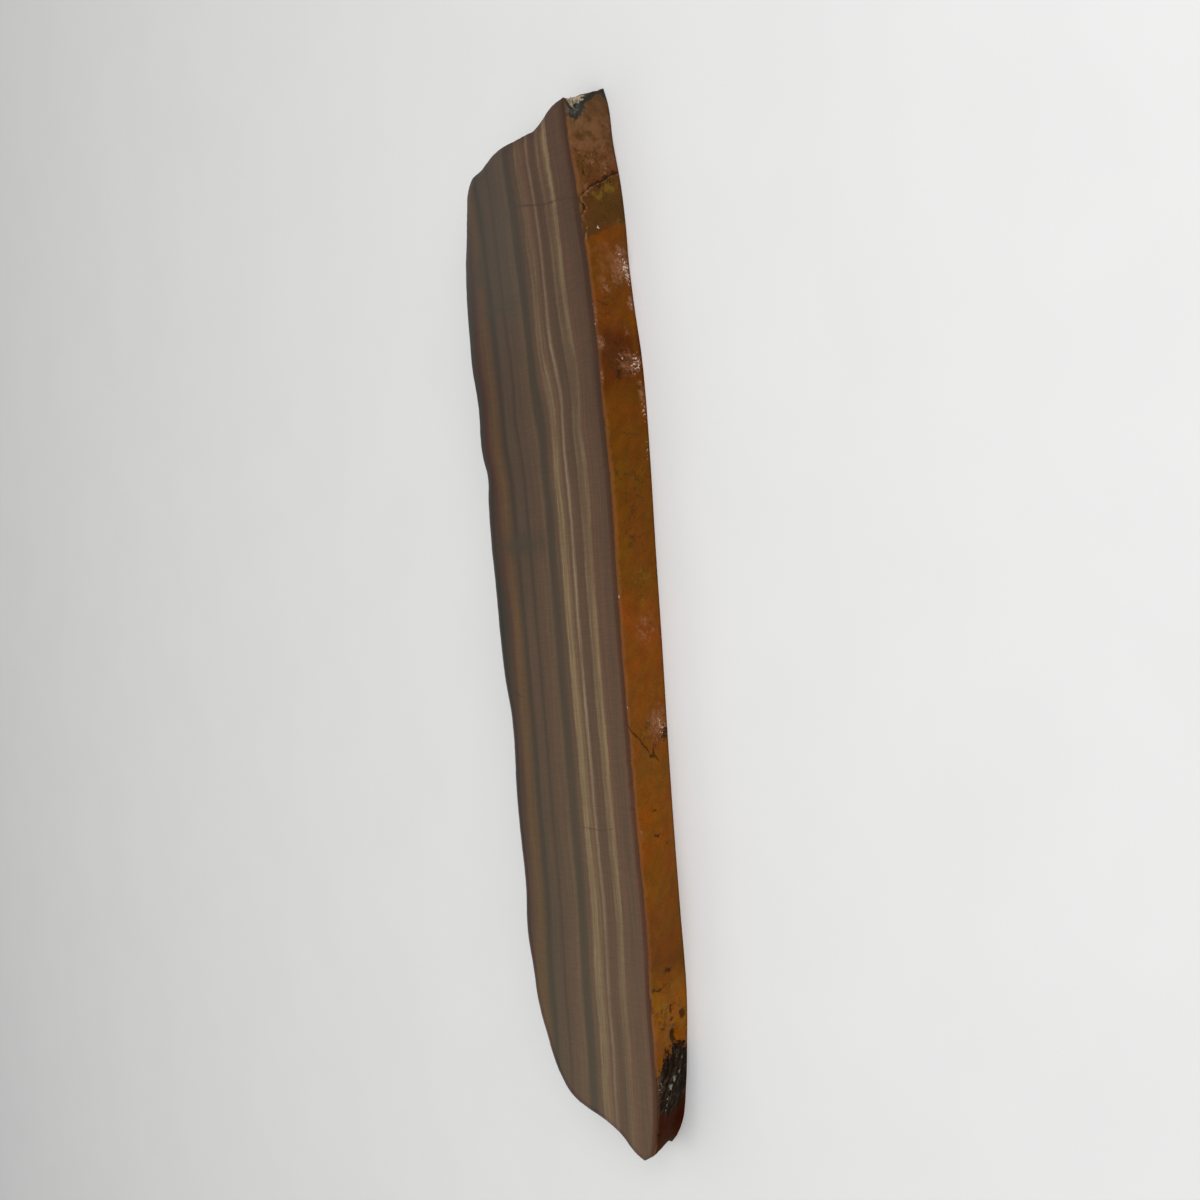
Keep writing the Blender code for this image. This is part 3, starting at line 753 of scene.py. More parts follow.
# The lights and the floor, in metres.
SOFTBOX_RISE = 4.3  # degrees that the softbox stands above the camera's mirrored line
SOFTBOX_FAR = 1.2
SOFTBOX_SIZE = (2.4, 0.35)
SOFTBOX_SPREAD = 90.0  # degrees
SOFTBOX_COLOUR = (0.87, 0.94, 0.62)
SOFTBOX_AIM = (0.0, 0.37, 0.0)
TOP_LIGHT_PLACE = (0.25, -0.2, 1.1)
TOP_LIGHT_SIZE = (0.9, 0.9)
RIM_LIGHT_PLACE = (0.8, 0.3, 0.6)
RIM_LIGHT_SIZE = (0.8, 0.8)
FLOOR_HALF = 4.0
FLOOR_SHADE = 0.985  # brightness of the floor's darker patches
FLOOR_ROUGHNESS = 0.95
FLOOR_GLOSS_LEVEL = 0.1

# Where the camera stands, in millimetres, and the frame it looks through.
CAMERA_ANGLE = 52.0  # degrees between the polished face's upright and the camera
CAMERA_LEAN = 5.1  # degrees that the slab leans in the frame
CAMERA_AIM = (5.0, 1.2, 7.25)
CAMERA_SHIFT = (4.29, 5.71)
CAMERA_FAR = 420.0
CAMERA_NEAR_END = 0.01  # metres in front of the camera where it starts to see
SENSOR_WIDTH = 36.0
CAMERA_LENS = 44.1


# ---------------------------------------------------------------------------------------------
# Settings that a user would change
# ---------------------------------------------------------------------------------------------


def colour_setting(name, text, default):
    """A colour that a user can pick, as linear red, green and blue."""
    return bpy.props.FloatVectorProperty(
        name=name, description=text, subtype="COLOR", size=3, min=0.0, max=1.0, default=default
    )


def length_setting(name, text, default, low, high):
    """A length that a user can change, given in millimetres."""
    return bpy.props.FloatProperty(
        name=name,
        description=text,
        default=default * MM,
        min=low * MM,
        max=high * MM,
        precision=5,
        unit="LENGTH",
    )


def power_setting(name, text, default):
    """The power of a light."""
    return bpy.props.FloatProperty(
        name=name, description=text, default=default, min=0.0, max=100.0, unit="POWER"
    )


class TigersEyeSizes(bpy.types.PropertyGroup):
    """Sizes of the slab's fine shapes."""

    polish_drop: length_setting(
        "Polished edge drop", "How far the polished face falls away at its edge", 0.34, 0.0, 0.5
    )
    polish_width: length_setting(
        "Polished edge width",
        "How far in from the edge the polished face starts to fall away",
        1.9,
        0.5,
        5.0,
    )
    fine_relief: bpy.props.FloatProperty(
        name="Fine relief",
        description="Strength of the finest lumps and pits of the natural rim",
        default=1.0,
        min=0.0,
        max=2.0,
        subtype="FACTOR",
    )
    crystal_length: length_setting(
        "Crystal length", "Length of the longest crystal in the chipped corner", 1.9, 0.5, 4.0
    )
    crystal_count: bpy.props.IntProperty(
        name="Crystals",
        description="Number of crystals in the chipped corner",
        default=34,
        min=1,
        max=80,
    )


class TigersEyeColours(bpy.types.PropertyGroup):
    """Colours of the stone."""

    brown: colour_setting("Brown", "Ground colour of the bands", PALETTE["brown"])
    tan: colour_setting("Tan", "Lighter bands", PALETTE["tan"])
    maroon: colour_setting("Maroon", "Dark red seams", PALETTE["maroon"])
    slate: colour_setting("Slate", "Blue-grey band", PALETTE["slate"])
    amber: colour_setting("Amber", "Amber band at the far side", PALETTE["amber"])
    crust: colour_setting("Crust", "Dark crust at the far edge", PALETTE["crust"])
    gold: colour_setting("Gold", "Bright fibre stripes", PALETTE["gold"])
    pale_gold: colour_setting("Pale gold", "Fine pale stripe", PALETTE["pale_gold"])
    iron_ore: colour_setting("Iron ore", "Knobbly metallic ore", (0.0040, 0.0010, 0.0004))
    # painted highlights: the glints on the ore
    ore_glint: colour_setting("Ore glint", "Bright faces of the ore", (0.200, 0.190, 0.165))
    ochre: colour_setting("Ochre", "Yellow earth under the ledge", (0.165, 0.092, 0.008))
    # pinkish quartz, also the colour of the painted highlights on the crack lip and along the rim's top
    pink_grain: colour_setting("Pink grain", "Pinkish rough quartz", (0.260, 0.115, 0.060))
    # pale quartz, also the colour of the painted glints among its grains
    pale_grain: colour_setting("Pale grain", "Sparkling pale quartz", (0.62, 0.46, 0.36))
    # dark of veins, cracks and pits, and also painted shade in the rim's cracks and hollows
    crack: colour_setting("Crack", "Inside of cracks and pits", (0.026, 0.0095, 0.0030))
    corner_rock: colour_setting("Corner rock", "Blue-black rock in the chip", (0.034, 0.036, 0.034))
    corner_cream: colour_setting("Corner cream", "Cream quartz in the chip", (0.36, 0.29, 0.19))
    ironstone: colour_setting("Ironstone", "Dark natural skin of the far side", (0.045, 0.032, 0.022))
    sawn_dust: colour_setting("Sawn dust", "Dust left on the sawn back", (0.30, 0.22, 0.14))


class TigersEyeStudio(bpy.types.PropertyGroup):
    """Light round the slab."""

    sky_strength: bpy.props.FloatProperty(
        name="Sky",
        description="Strength of the even light from all round",
        default=0.42,
        min=0.0,
        max=5.0,
    )
    softbox_power: power_setting(
        "Softbox", "Power of the long softbox that shines in the polished face", 0.235
    )
    rim_light_power: power_setting("Rim light", "Power of the soft light on the orange rim", 5.4)
    top_light_power: power_setting("Top light", "Power of the soft light straight above", 4.2)
    floor: colour_setting("Floor", "Colour of the floor", (0.82, 0.82, 0.82))


# ---------------------------------------------------------------------------------------------
# Shapes
# ---------------------------------------------------------------------------------------------


def smoothstep(low, high, value):
    """0 below low, 1 above high, and an even S (3t squared less 2t cubed) between them."""
    share = np.clip((value - low) / (high - low), 0.0, 1.0)
    return share * share * (3.0 - 2.0 * share)


def chance(cell, seed):
    """A fixed number from -1 to 1 for each whole-numbered cell."""
    mixed = cell[..., 0] * 73856093 ^ cell[..., 1] * 19349663 ^ cell[..., 2] * 83492791
    mixed = (mixed ^ seed * 2654435761) & 0xFFFFFFFF
    mixed = (mixed ^ mixed >> 15) * 2246822519 & 0xFFFFFFFF
    mixed = (mixed ^ mixed >> 13) * 3266489917 & 0xFFFFFFFF
    return (mixed >> 16 & 0xFFFF) / 32767.5 - 1.0


def lumps(place, size, seed):
    """Smooth noise: the chances at the eight corners of a cell, blended by S-curves along each axis."""
    spot = place / size
    cell = np.floor(spot).astype(np.int64)
    part = spot - cell
    part = part**3 * (part * (part * 6.0 - 15.0) + 10.0)
    total = np.zeros(place.shape[:-1])
    for dx in (0, 1):
        for dy in (0, 1):
            for dz in (0, 1):
                side = np.array((dx, dy, dz))
                share = np.prod(np.where(side == 1, part, 1.0 - part), axis=-1)
                total += share * chance(cell + side, seed)
    return total


def knobs(place, size):
    """Rounded knobs: in each cell a dome, 1 less the squared distance from the cell's own centre."""
    spot = place / size
    cell = np.floor(spot).astype(np.int64)
    nearest = np.full(place.shape[:-1], FAR)
    for dx in (-1, 0, 1):
        for dy in (-1, 0, 1):
            for dz in (-1, 0, 1):
                other = cell + np.array((dx, dy, dz))
                shift = np.stack([chance(other, seed) for seed in KNOB_SEEDS], axis=-1)
                centre = other + 0.5 + KNOB_SHIFT * shift
                nearest = np.minimum(nearest, np.linalg.norm(spot - centre, axis=-1))
    return 1.0 - np.clip(nearest, 0.0, 1.0) ** 2


def run_length(points):
    """The length of a line of points from its start to each of them, in x and y."""
    steps = np.linalg.norm(np.diff(points[:, :2], axis=0), axis=1)
    return np.concatenate(((0.0,), np.cumsum(steps)))


def even_rows(points, count):
    """count + 1 rows at even steps along the smooth curve through the points (Catmull-Rom)."""
    points = np.array(points, dtype=float)
    run = run_length(points)
    curve = through(np.linspace(0.0, run[-1], CURVE_STEPS * count), run, points)
    length = run_length(curve)
    steps = np.linspace(0.0, length[-1], count + 1)
    return np.stack([np.interp(steps, length, curve[:, k]) for k in range(4)], axis=1)


def through(where, knots, values):
    """Cubic Hermite curve through rows of values at rising knots, with centred differences as slopes."""
    slope = np.gradient(values, knots, axis=0)
    span = np.clip(np.searchsorted(knots, where, side="right") - 1, 0, len(knots) - 2)
    width = knots[span + 1] - knots[span]
    t = ((where - knots[span]) / width)[:, None]
    width = width[:, None]
    return (
        (2 * t**3 - 3 * t**2 + 1) * values[span]
        + (t**3 - 2 * t**2 + t) * width * slope[span]
        + (3 * t**2 - 2 * t**3) * values[span + 1]
        + (t**3 - t**2) * width * slope[span + 1]
    )


def outline_loop():
    """The closed outline: down the right side and back up the left one, as face and back points."""
    right = even_rows(RIGHT_SIDE, ROWS)
    left = even_rows(LEFT_SIDE, ROWS)
    loop = np.concatenate((right, left[-2:0:-1]))
    return loop[:, :2], loop[:, 2:]


def outward(face, back):
    """Unit vectors pointing out of the outline, square to it in the XY plane."""
    middle = (face + back) / 2.0
    along = np.roll(middle, -OUTWARD_REACH, axis=0) - np.roll(middle, OUTWARD_REACH, axis=0)
    out = np.stack((-along[:, 1], along[:, 0]), axis=1)
    return out / np.linalg.norm(out, axis=1, keepdims=True)


def oval_distance(first, second, middle, half):
    """Squared distance from the middle of an oval, 1 on its border."""
    return ((first - middle[0]) / half[0]) ** 2 + ((second - middle[1]) / half[1]) ** 2


def strongest(first, second, spots):
    """The strongest of several oval spots: its strength times exp of less its squared distance."""
    best = np.zeros(first.shape)
    for *oval, strength in spots:
        best = np.maximum(best, strength * np.exp(-oval_distance(first, second, oval[:2], oval[2:])))
    return best


def rim_spots(place, spots):
    """The strongest of several oval spots of the rim."""
    return strongest(place[..., 1], place[..., 2], spots)


def inside(place, corners, soft):
    """1 inside a patch of the rim and 0 outside: distance to its border in (y, z), softened over soft."""
    spot = place[..., 1:]
    corners = np.array(corners)
    nearest = np.full(spot.shape[:-1], ENDLESS)
    crossings = np.zeros(spot.shape[:-1], dtype=int)
    for start, end in zip(corners, np.roll(corners, -1, axis=0)):
        edge = end - start
        share = np.clip(((spot - start) @ edge) / (edge @ edge), 0.0, 1.0)
        gap = spot - start - share[..., None] * edge
        nearest = np.minimum(nearest, np.hypot(gap[..., 0], gap[..., 1]))
        spans = (start[1] > spot[..., 1]) != (end[1] > spot[..., 1])
        rise = np.where(edge[1] == 0.0, 1.0, edge[1])
        crossing = start[0] + (spot[..., 1] - start[1]) / rise * edge[0]
        crossings += spans & (spot[..., 0] < crossing)
    signed = np.where(crossings % 2 == 1, nearest, -nearest)
    return smoothstep(-soft, soft, signed)


def nearer(first, second):
    """Whichever of two signed distances is nearer to zero, the second one where they are equal."""
    return np.where(np.abs(first) < np.abs(second), first, second)


def line_gap(place, line, wander, past_end, fade):
    """Signed distance to a line, moved by wander, and pushed away where a point is past its end.

    Both place and line are (along, across), and the push grows over the length of fade.
    """
    gap = place[1] - np.interp(place[0], *line) + wander
    return gap + np.where(gap < 0.0, -FAR, FAR) * smoothstep(0.0, fade, past_end)


def crack_offsets(place):
    """Signed distance to the nearest crack line of the rim, positive above it, and how open it is."""
    y, z = place[..., 1], place[..., 2]
    offset = np.full(y.shape, FAR)
    opening = np.zeros(y.shape)
    rise, size, seed = CRACK_WANDER
    wander = rise * lumps(place, size, seed)
    for line in RIM_CRACKS:
        gap = line_gap((z, y), line, wander, line[0][0] - z, RIM_CRACK_FADE)
        offset = nearer(gap, offset)
        opening = np.where(np.abs(gap) < RIM_CRACK_REACH, 1.0, opening)
    past_ends = np.maximum(EDGE_CRACK[0][0] - y, y - EDGE_CRACK[0][-1])
    gap = line_gap((y, z), EDGE_CRACK, 0.5 * wander, past_ends, EDGE_CRACK_FADE)
    return nearer(gap, offset), np.where(np.abs(gap) < EDGE_CRACK_REACH, 1.0, opening)


def orange_rim_relief(place):
    """Swellings and hollows, the ledge and the iron ore of the orange rim, in millimetres outwards."""
    y, z = place[..., 1], place[..., 2]
    rise = np.zeros(y.shape)
    for *oval, height in RIM_FORMS:
        rise += height * np.exp(-FORM_FALL * oval_distance(y, z, oval[:2], oval[2:]))
    above = y - np.interp(z, LEDGE_Z, LEDGE_Y)
    fade = np.exp(-np.maximum(above, 0.0) / LEDGE_FADE)
    rise += LEDGE_RISE * smoothstep(-LEDGE_WIDTH, LEDGE_WIDTH, above) * fade
    far = oval_distance(y, z, ORE_PLACE, ORE_REACH)
    rise += ORE_RISE * smoothstep(1.0, 0.5, far) * (knobs(place, ORE_KNOB) - 0.5)
    return rise


def left_side_relief(place):
    """A long shelf that wanders up and down the left side in a sum of sine waves."""
    level = SHELF_LEVEL
    for rise, length, shift in SHELF_WAVES:
        level = level + rise * np.sin(place[..., 1] / length + shift)
    return SHELF_STEP * (smoothstep(-SHELF_SOFT, SHELF_SOFT, level - place[..., 2]) - 0.5)


def end_relief(place):
    """Ribs where the stone's layers broke off at different heights."""
    return RIB_RISE * lumps(place * np.array(RIB_STRETCH), RIB_SIZE, RIB_SEED)


def with_lumps(rise, place, orange, rows):
    """Adds lumps of several sizes, each with its own rise on the orange rim and elsewhere."""
    for size, rough, smooth, seed in rows:
        rise = rise + lumps(place, size, seed) * (smooth * orange + rough * (1.0 - orange))
    return rise


def fine_relief(place, orange):
    """Grains, pits, small ore knobs and crack grooves, in millimetres outwards."""
    rise = with_lumps(np.zeros(place.shape[:-1]), place, orange, FINE_LUMPS)
    quartz = np.maximum(rim_spots(place, RIM_MARKS["pale"]), rim_spots(place, RIM_MARKS["pink"]))
    grains = sum(height * lumps(place, size, seed) for height, size, seed in QUARTZ_GRAINS)
    rise += orange * quartz * grains
    ore = inside(place, ORE_PATCH, ORE_RELIEF_SOFT)
    rise += orange * SMALL_KNOB_RISE * ore * (knobs(place, SMALL_KNOB) - SMALL_KNOB_LEVEL)
    share, size, seed = PIT_LUMPS
    rough = share + share * lumps(place, size, seed)
    rise -= orange * PIT_DEPTH * rim_spots(place, RIM_MARKS["dark"]) * rough
    offset, opening = crack_offsets(place)
    rise -= orange * opening * CRACK_DEPTH * np.exp(-((offset / CRACK_WIDTH) ** 2))
    return rise


def rim_relief(place, out, fine_strength):
    """How far each rim point stands outwards, by which way its part of the rim looks."""
    orange = smoothstep(*SIDE_TURN, out[:, :1])
    left = smoothstep(*SIDE_TURN, -out[:, :1])
    end = 1.0 - orange - left
    rise = orange * orange_rim_relief(place) + left * left_side_relief(place) + end * end_relief(place)
    rise = with_lumps(rise, place, orange, LUMPS)
    edge = np.minimum(place[..., 2], THICKNESS - place[..., 2])
    fine = fine_strength * fine_relief(place, orange) * smoothstep(0.0, FINE_KEEP, edge)
    return rise * smoothstep(0.0, EDGE_KEEP, edge) + fine


def chip_depth(place):
    """The hollow in the orange side at the top corner, deepest at its centre."""
    far = np.linalg.norm(place - np.array(CHIP_CENTRE), axis=-1)
    return CHIP_DEPTH * smoothstep(CHIP_REACH, CHIP_FLOOR * CHIP_REACH, far)


def rim_points(drop, fine_strength):
    """The rim as a grid: around the outline, and from the back edge up to the face edge.

    Each point lies on the straight line from the back outline to the face outline, moved outwards
    by the relief; the uppermost level lies lower than the face by drop.
    """
    face, back = outline_loop()
    out = outward(face, back)
    share = np.linspace(0.0, 1.0, RIM_STEPS + 1)
    flat = back[:, None] + (face - back)[:, None] * share[None, :, None]
    height = np.broadcast_to((THICKNESS - drop) * share, flat.shape[:2])
    place = np.concatenate((flat, height[..., None]), axis=2)
    rise = rim_relief(place, out, fine_strength)
    chip = chip_depth(place) * smoothstep(0.0, EDGE_KEEP, THICKNESS - place[..., 2])
    nick = rim_spots(place, EDGE_NICKS) * (out[:, :1] > NICK_SIDE)
    place[..., :2] += (rise - NICK_DEPTH * nick)[..., None] * out[:, None]
    place[..., 0] -= chip
    return place, out


def edge_distance(points, outline):
    """Distance from each point to the closed outline: the nearest of the two runs at its nearest corner."""
    result = np.empty(len(points))
    ahead = np.roll(outline, -1, axis=0)
    for part in np.array_split(np.arange(len(points)), max(1, len(points) // AT_ONCE)):
        spot = points[part]
        nearest = np.argmin(((spot[:, None] - outline[None]) ** 2).sum(axis=2), axis=1)
        best = np.full(len(part), ENDLESS)
        for corner in (nearest, (nearest - 1) % len(outline)):
            start, run = outline[corner], ahead[corner] - outline[corner]
            share = np.clip(((spot - start) * run).sum(axis=1) / (run**2).sum(axis=1), 0.0, 1.0)
            best = np.minimum(best, np.linalg.norm(spot - start - share[:, None] * run, axis=1))
        result[part] = best
    return result


def lid(rim, level, columns, looks_up, first):
    """A flat lid inside one level of the rim: its new points, its faces and the corner faces at the tips.

    The points lie on straight lines from the right side to the left one, nearer to each other
    towards both ends of the line (mostly half of 1 less the cosine of pi times the step).
    """
    around, levels = rim.shape[:2]
    rows = np.arange(1, ROWS)
    right, left = rows, around - rows
    step = np.arange(1, columns) / columns
    share = LID_CROWD * (1.0 - np.cos(np.pi * step)) / 2.0 + LID_EVEN * step
    start, end = rim[right, level], rim[left, level]
    inner = start[:, None] + (end - start)[:, None] * share[None, :, None]
    number = np.empty((len(rows), columns + 1), dtype=np.int64)
    number[:, 0] = right * levels + level
    number[:, -1] = left * levels + level
    number[:, 1:-1] = first + np.arange(inner.shape[0] * inner.shape[1]).reshape(inner.shape[:2])
    quads = np.stack((number[:-1, :-1], number[:-1, 1:], number[1:, 1:], number[1:, :-1]), axis=-1)
    top, bottom = level, ROWS * levels + level
    tips = np.concatenate(
        (
            np.stack((np.full(columns, top), number[0, :-1], number[0, 1:]), axis=-1)[:, (0, 2, 1)],
            np.stack((np.full(columns, bottom), number[-1, :-1], number[-1, 1:]), axis=-1),
        )
    )
    quads = quads.reshape(-1, 4)
    if not looks_up:
        quads, tips = quads[:, ::-1], tips[:, ::-1]
    return inner.reshape(-1, 3), quads, tips


def band_place(x, y):
    """Where a point lies in the drawing of the bands.

    The distance from the orange edge is stretched piece by piece, so that every band's own track
    along the slab lands on its one place in the drawing.
    """
    right = even_rows(RIGHT_SIDE, ROWS)[::-1]
    edge = np.interp(y, right[:, 1], right[:, 0])
    low = np.interp((STRAIGHT_BELOW, STRAIGHT_BELOW + STRAIGHT_SPAN), right[:, 1], right[:, 0])
    straight = low[0] + (y - STRAIGHT_BELOW) * (low[1] - low[0]) / STRAIGHT_SPAN
    edge = np.where(y < STRAIGHT_BELOW, straight, edge)
    away = edge - x
    knots = np.array(TRACK_Y[::-1])
    tracks = np.array([track for _, track in TRACKS])[:, ::-1].T
    here = through(np.clip(y, knots[0], knots[-1]), knots, tracks)
    drawn = np.array([place for place, _ in TRACKS])
    result = away * drawn[0] / here[:, 0]
    for k in range(1, len(drawn)):
        share = (away - here[:, k - 1]) / (here[:, k] - here[:, k - 1])
        result = np.where(share > 0.0, drawn[k - 1] + share * (drawn[k] - drawn[k - 1]), result)
    return result


def tone(band, y):
    """How bright the ground is: its tone along y, stressed or softened by the band's share."""
    along = np.interp(y, TONE_Y[::-1], TONE[::-1])
    return 1.0 - (1.0 - along) * np.interp(band, TONE_BANDS, TONE_SHARE)


def hairline(band, y):
    """Signed distance along y to the nearest hairline crack of the face, large where none is near."""
    offset = np.full(band.shape, FAR)
    for line_band, line_y, strength in HAIRLINES:
        gap = y - np.interp(band, line_band, line_y)
        past_ends = np.maximum(line_band[0] - band, band - line_band[-1])
        gap = gap / strength + FAR * smoothstep(0.0, HAIRLINE_FADE, past_ends) * np.sign(gap)
        offset = nearer(gap, offset)
    return offset


def zone_place(y, z):
    """y along the orange rim, straightened so that the slanting borders lie at one y each.

    Each border's own lean is taken off, times exp of less the squared distance from it.
    """
    result = y
    for border_z, border_y, level, reach in SLANTS:
        lean = np.interp(z, border_z, border_y) - level
        result = result - np.exp(-(((y - level) / reach) ** 2)) * lean
    return result


def crystal_points(count, longest):
    """Six-sided prisms with a point at each end, lying in the chip: rings of six along an axis.

    Each ring is the crystal's axis point plus its radius times the cosine and sine of sixths of a
    turn, along two directions square to the axis.
    """
    cell = np.stack((np.arange(count), np.zeros(count, int), np.zeros(count, int)), axis=-1)
    draw = [chance(cell, seed) for seed in CRYSTAL_SEEDS]
    height = CRYSTAL_HEIGHT[0] + CRYSTAL_HEIGHT[1] * draw[1]
    x = CRYSTAL_X[0] + CRYSTAL_X[1] * draw[2]
    edge = CRYSTAL_EDGE_Y - CRYSTAL_EDGE_SLANT * height / THICKNESS
    y = edge - CRYSTAL_DEPTH[0] + CRYSTAL_DEPTH[1] * draw[0]
    middle = np.stack((x, y, height), axis=-1)
    axis = np.stack([aim + spread * by for (aim, spread), by in zip(CRYSTAL_AXIS, draw[3:6])], axis=-1)
    axis /= np.linalg.norm(axis, axis=1, keepdims=True)
    side = np.cross(axis, np.array((1.0, 0.0, 0.0)))
    side /= np.linalg.norm(side, axis=1, keepdims=True)
    other = np.cross(axis, side)
    length = longest * (CRYSTAL_LENGTH[0] + CRYSTAL_LENGTH[1] * draw[6])
    thick = CRYSTAL_THICK[0] * length * (1.0 + CRYSTAL_THICK[1] * draw[4])
    sides = CRYSTAL_SIDES
    turn = np.arange(sides) * np.pi / (sides / 2.0)
    ring = thick[:, None, None] * (
        np.cos(turn)[None, :, None] * side[:, None] + np.sin(turn)[None, :, None] * other[:, None]
    )
    step = 0.5 * length[:, None] * axis
    low, high = middle - CRYSTAL_BODY * step, middle + CRYSTAL_BODY * step
    tips = (middle - step)[:, None], (middle + step)[:, None]
    points = np.concatenate((low[:, None] + ring, high[:, None] + ring, *tips), axis=1)
    first = np.arange(sides)
    second = (first + 1) % sides
    low_tip, high_tip = np.full(sides, 2 * sides), np.full(sides, 2 * sides + 1)
    walls = np.stack((first, first + sides, second + sides, second), axis=-1)
    low_end = np.stack((low_tip, first, second), axis=-1)
    high_end = np.stack((high_tip, second + sides, first + sides), axis=-1)
    base = (np.arange(count) * points.shape[1])[:, None, None]
    walls = (walls[None] + base).reshape(-1, 4)
    ends = (np.concatenate((low_end, high_end))[None] + base).reshape(-1, 3)
    faces = walls.tolist() + ends.tolist()
    return points.reshape(-1, 3), faces


def box_middle():
    """The middle of the drawing's box in x and y, which comes to stand over the origin."""
    low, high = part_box("slab")
    face, back = outline_loop()
    both = np.concatenate((face, back))
    drawn = (both.max(axis=0) + both.min(axis=0)) / 2.0
    found = np.array(((low[0] + high[0]) / 2.0, (low[1] + high[1]) / 2.0)) / MM
    return drawn - found


# ---------------------------------------------------------------------------------------------
# Meshes and materials
# ---------------------------------------------------------------------------------------------


def new_piece(name, points, faces, materials):
    """A mesh object at the origin from an array of points and lists of faces, riding on the root."""
    mesh = bpy.data.meshes.new(name)
    mesh.from_pydata(points.tolist(), [], faces)
    for material in materials:
        mesh.materials.append(material)
    piece = bpy.data.objects.new(name, mesh)
    bpy.context.scene.collection.objects.link(piece)
    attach(piece, "root")
    return piece


def paint(mesh, name, values):
    """Writes one number for each point of a mesh, for the materials to read by name."""
    layer = mesh.attributes.new(name, "FLOAT", "POINT")
    layer.data.foreach_set("value", np.ascontiguousarray(values, dtype=np.float32))


def opaque(colour):
    """A colour as four numbers: one that has no alpha gets an alpha of 1."""
    return (*colour, 1.0)[:4]


def feed(tree, socket, value):
    """Puts a link, a number or a colour on an input."""
    if isinstance(value, bpy.types.NodeSocket):
        tree.links.new(value, socket)
    else:
        socket.default_value = opaque(value) if socket.type == "RGBA" else value


def add(tree, kind, values=None, **settings):
    """A node with its settings, and a number, colour or link on each named input."""
    node = tree.nodes.new(kind)
    for key, value in settings.items():
        setattr(node, key, value)
    for key, value in (values or {}).items():
        feed(tree, node.inputs[key], value)
    return node


def maths(tree, operation, first, second=0.5, third=0.5, clamp=False):
    values = {0: first, 1: second, 2: third}
    return add(tree, "ShaderNodeMath", values, operation=operation, use_clamp=clamp).outputs[0]


def times(tree, first, second, clamp=False):
    return maths(tree, "MULTIPLY", first, second, clamp=clamp)


def off_middle(tree, wave):
    """How far a noise stands from its middle."""
    return maths(tree, "SUBTRACT", wave, 0.5)


def swayed(tree, base, wave, reach):
    """A value moved by reach times how far a noise stands from its middle."""
    return maths(tree, "MULTIPLY_ADD", off_middle(tree, wave), reach, base)


def mixed(tree, factor, first, second, blend="MIX"):
    values = {"Factor": factor, 6: first, 7: second}
    return add(tree, "ShaderNodeMix", values, data_type="RGBA", blend_type=blend).outputs[2]


def tinted(tree, colour, tint):
    return mixed(tree, 1.0, colour, tint, "MULTIPLY")


def coated(tree, under, over, mask, name):
    """A colour laid over another by a mask, as strongly as COATS says."""
    return mixed(tree, times(tree, mask, COATS[name]), under, over)


def ranged(tree, value, low, high, bottom=0.0, top=1.0, smooth=True):
    values = {"Value": value, "From Min": low, "From Max": high, "To Min": bottom, "To Max": top}
    style = "SMOOTHSTEP" if smooth else "LINEAR"
    return add(tree, "ShaderNodeMapRange", values, interpolation_type=style).outputs[0]


def fitted(tree, value, name):
    """A value mapped smoothly as the named row of RANGES says."""
    return ranged(tree, value, *RANGES[name])


def painted(tree, name):
    return add(tree, "ShaderNodeAttribute", attribute_name=name).outputs["Fac"]


def place_mm(tree):
    """Object coordinates in millimetres."""
    spot = add(tree, "ShaderNodeTexCoord").outputs["Object"]
    return add(tree, "ShaderNodeMapping", {"Vector": spot, "Scale": (1 / MM, 1 / MM, 1 / MM)}).outputs[0]


def noise(tree, place, name):
    """The named noise of NOISES, from 0 to 1."""
    size, stretch, detail, shift, roughness = NOISES[name]
    scale = tuple(1.0 / (size * k) for k in stretch)
    spot = add(tree, "ShaderNodeMapping", {"Vector": place, "Scale": scale, "Location": (shift,) * 3})
    values = {"Vector": spot.outputs[0], "Scale": 1.0, "Detail": detail, "Roughness": roughness}
    return add(tree, "ShaderNodeTexNoise", values).outputs["Fac"]


def bump(tree, height, distance, strength):
    values = {"Height": height, "Distance": distance, "Strength": strength}
    return add(tree, "ShaderNodeBump", values).outputs[0]


def colour_ramp(tree, factor, stops):
    """The colour of a ramp that has a stop for each (place from 0 to 1, colour)."""
    node = add(tree, "ShaderNodeValToRGB", {"Fac": factor})
    elements = node.color_ramp.elements
    while len(elements) > 1:
        elements.remove(elements[-1])
    elements[0].position, elements[0].color = stops[0][0], opaque(stops[0][1])
    for position, colour in stops[1:]:
        elements.new(position).color = opaque(colour)
    return node.outputs["Color"]


def new_group(name, inputs, output, kind):
    """An empty node group with named inputs, each as (name, socket type, default), and one output."""
    tree = bpy.data.node_groups.new(name, "ShaderNodeTree")
    for label, socket_type, default in inputs:
        socket = tree.interface.new_socket(label, in_out="INPUT", socket_type=socket_type)
        if default is not None:
            socket.default_value = default
    tree.interface.new_socket(output, in_out="OUTPUT", socket_type=kind)
    return tree, tree.nodes.new("NodeGroupInput").outputs, tree.nodes.new("NodeGroupOutput").inputs[0]


def use_group(tree, group, **values):
    """What a group puts out, with values or links on its inputs."""
    return add(tree, "ShaderNodeGroup", values, node_tree=group).outputs[0]


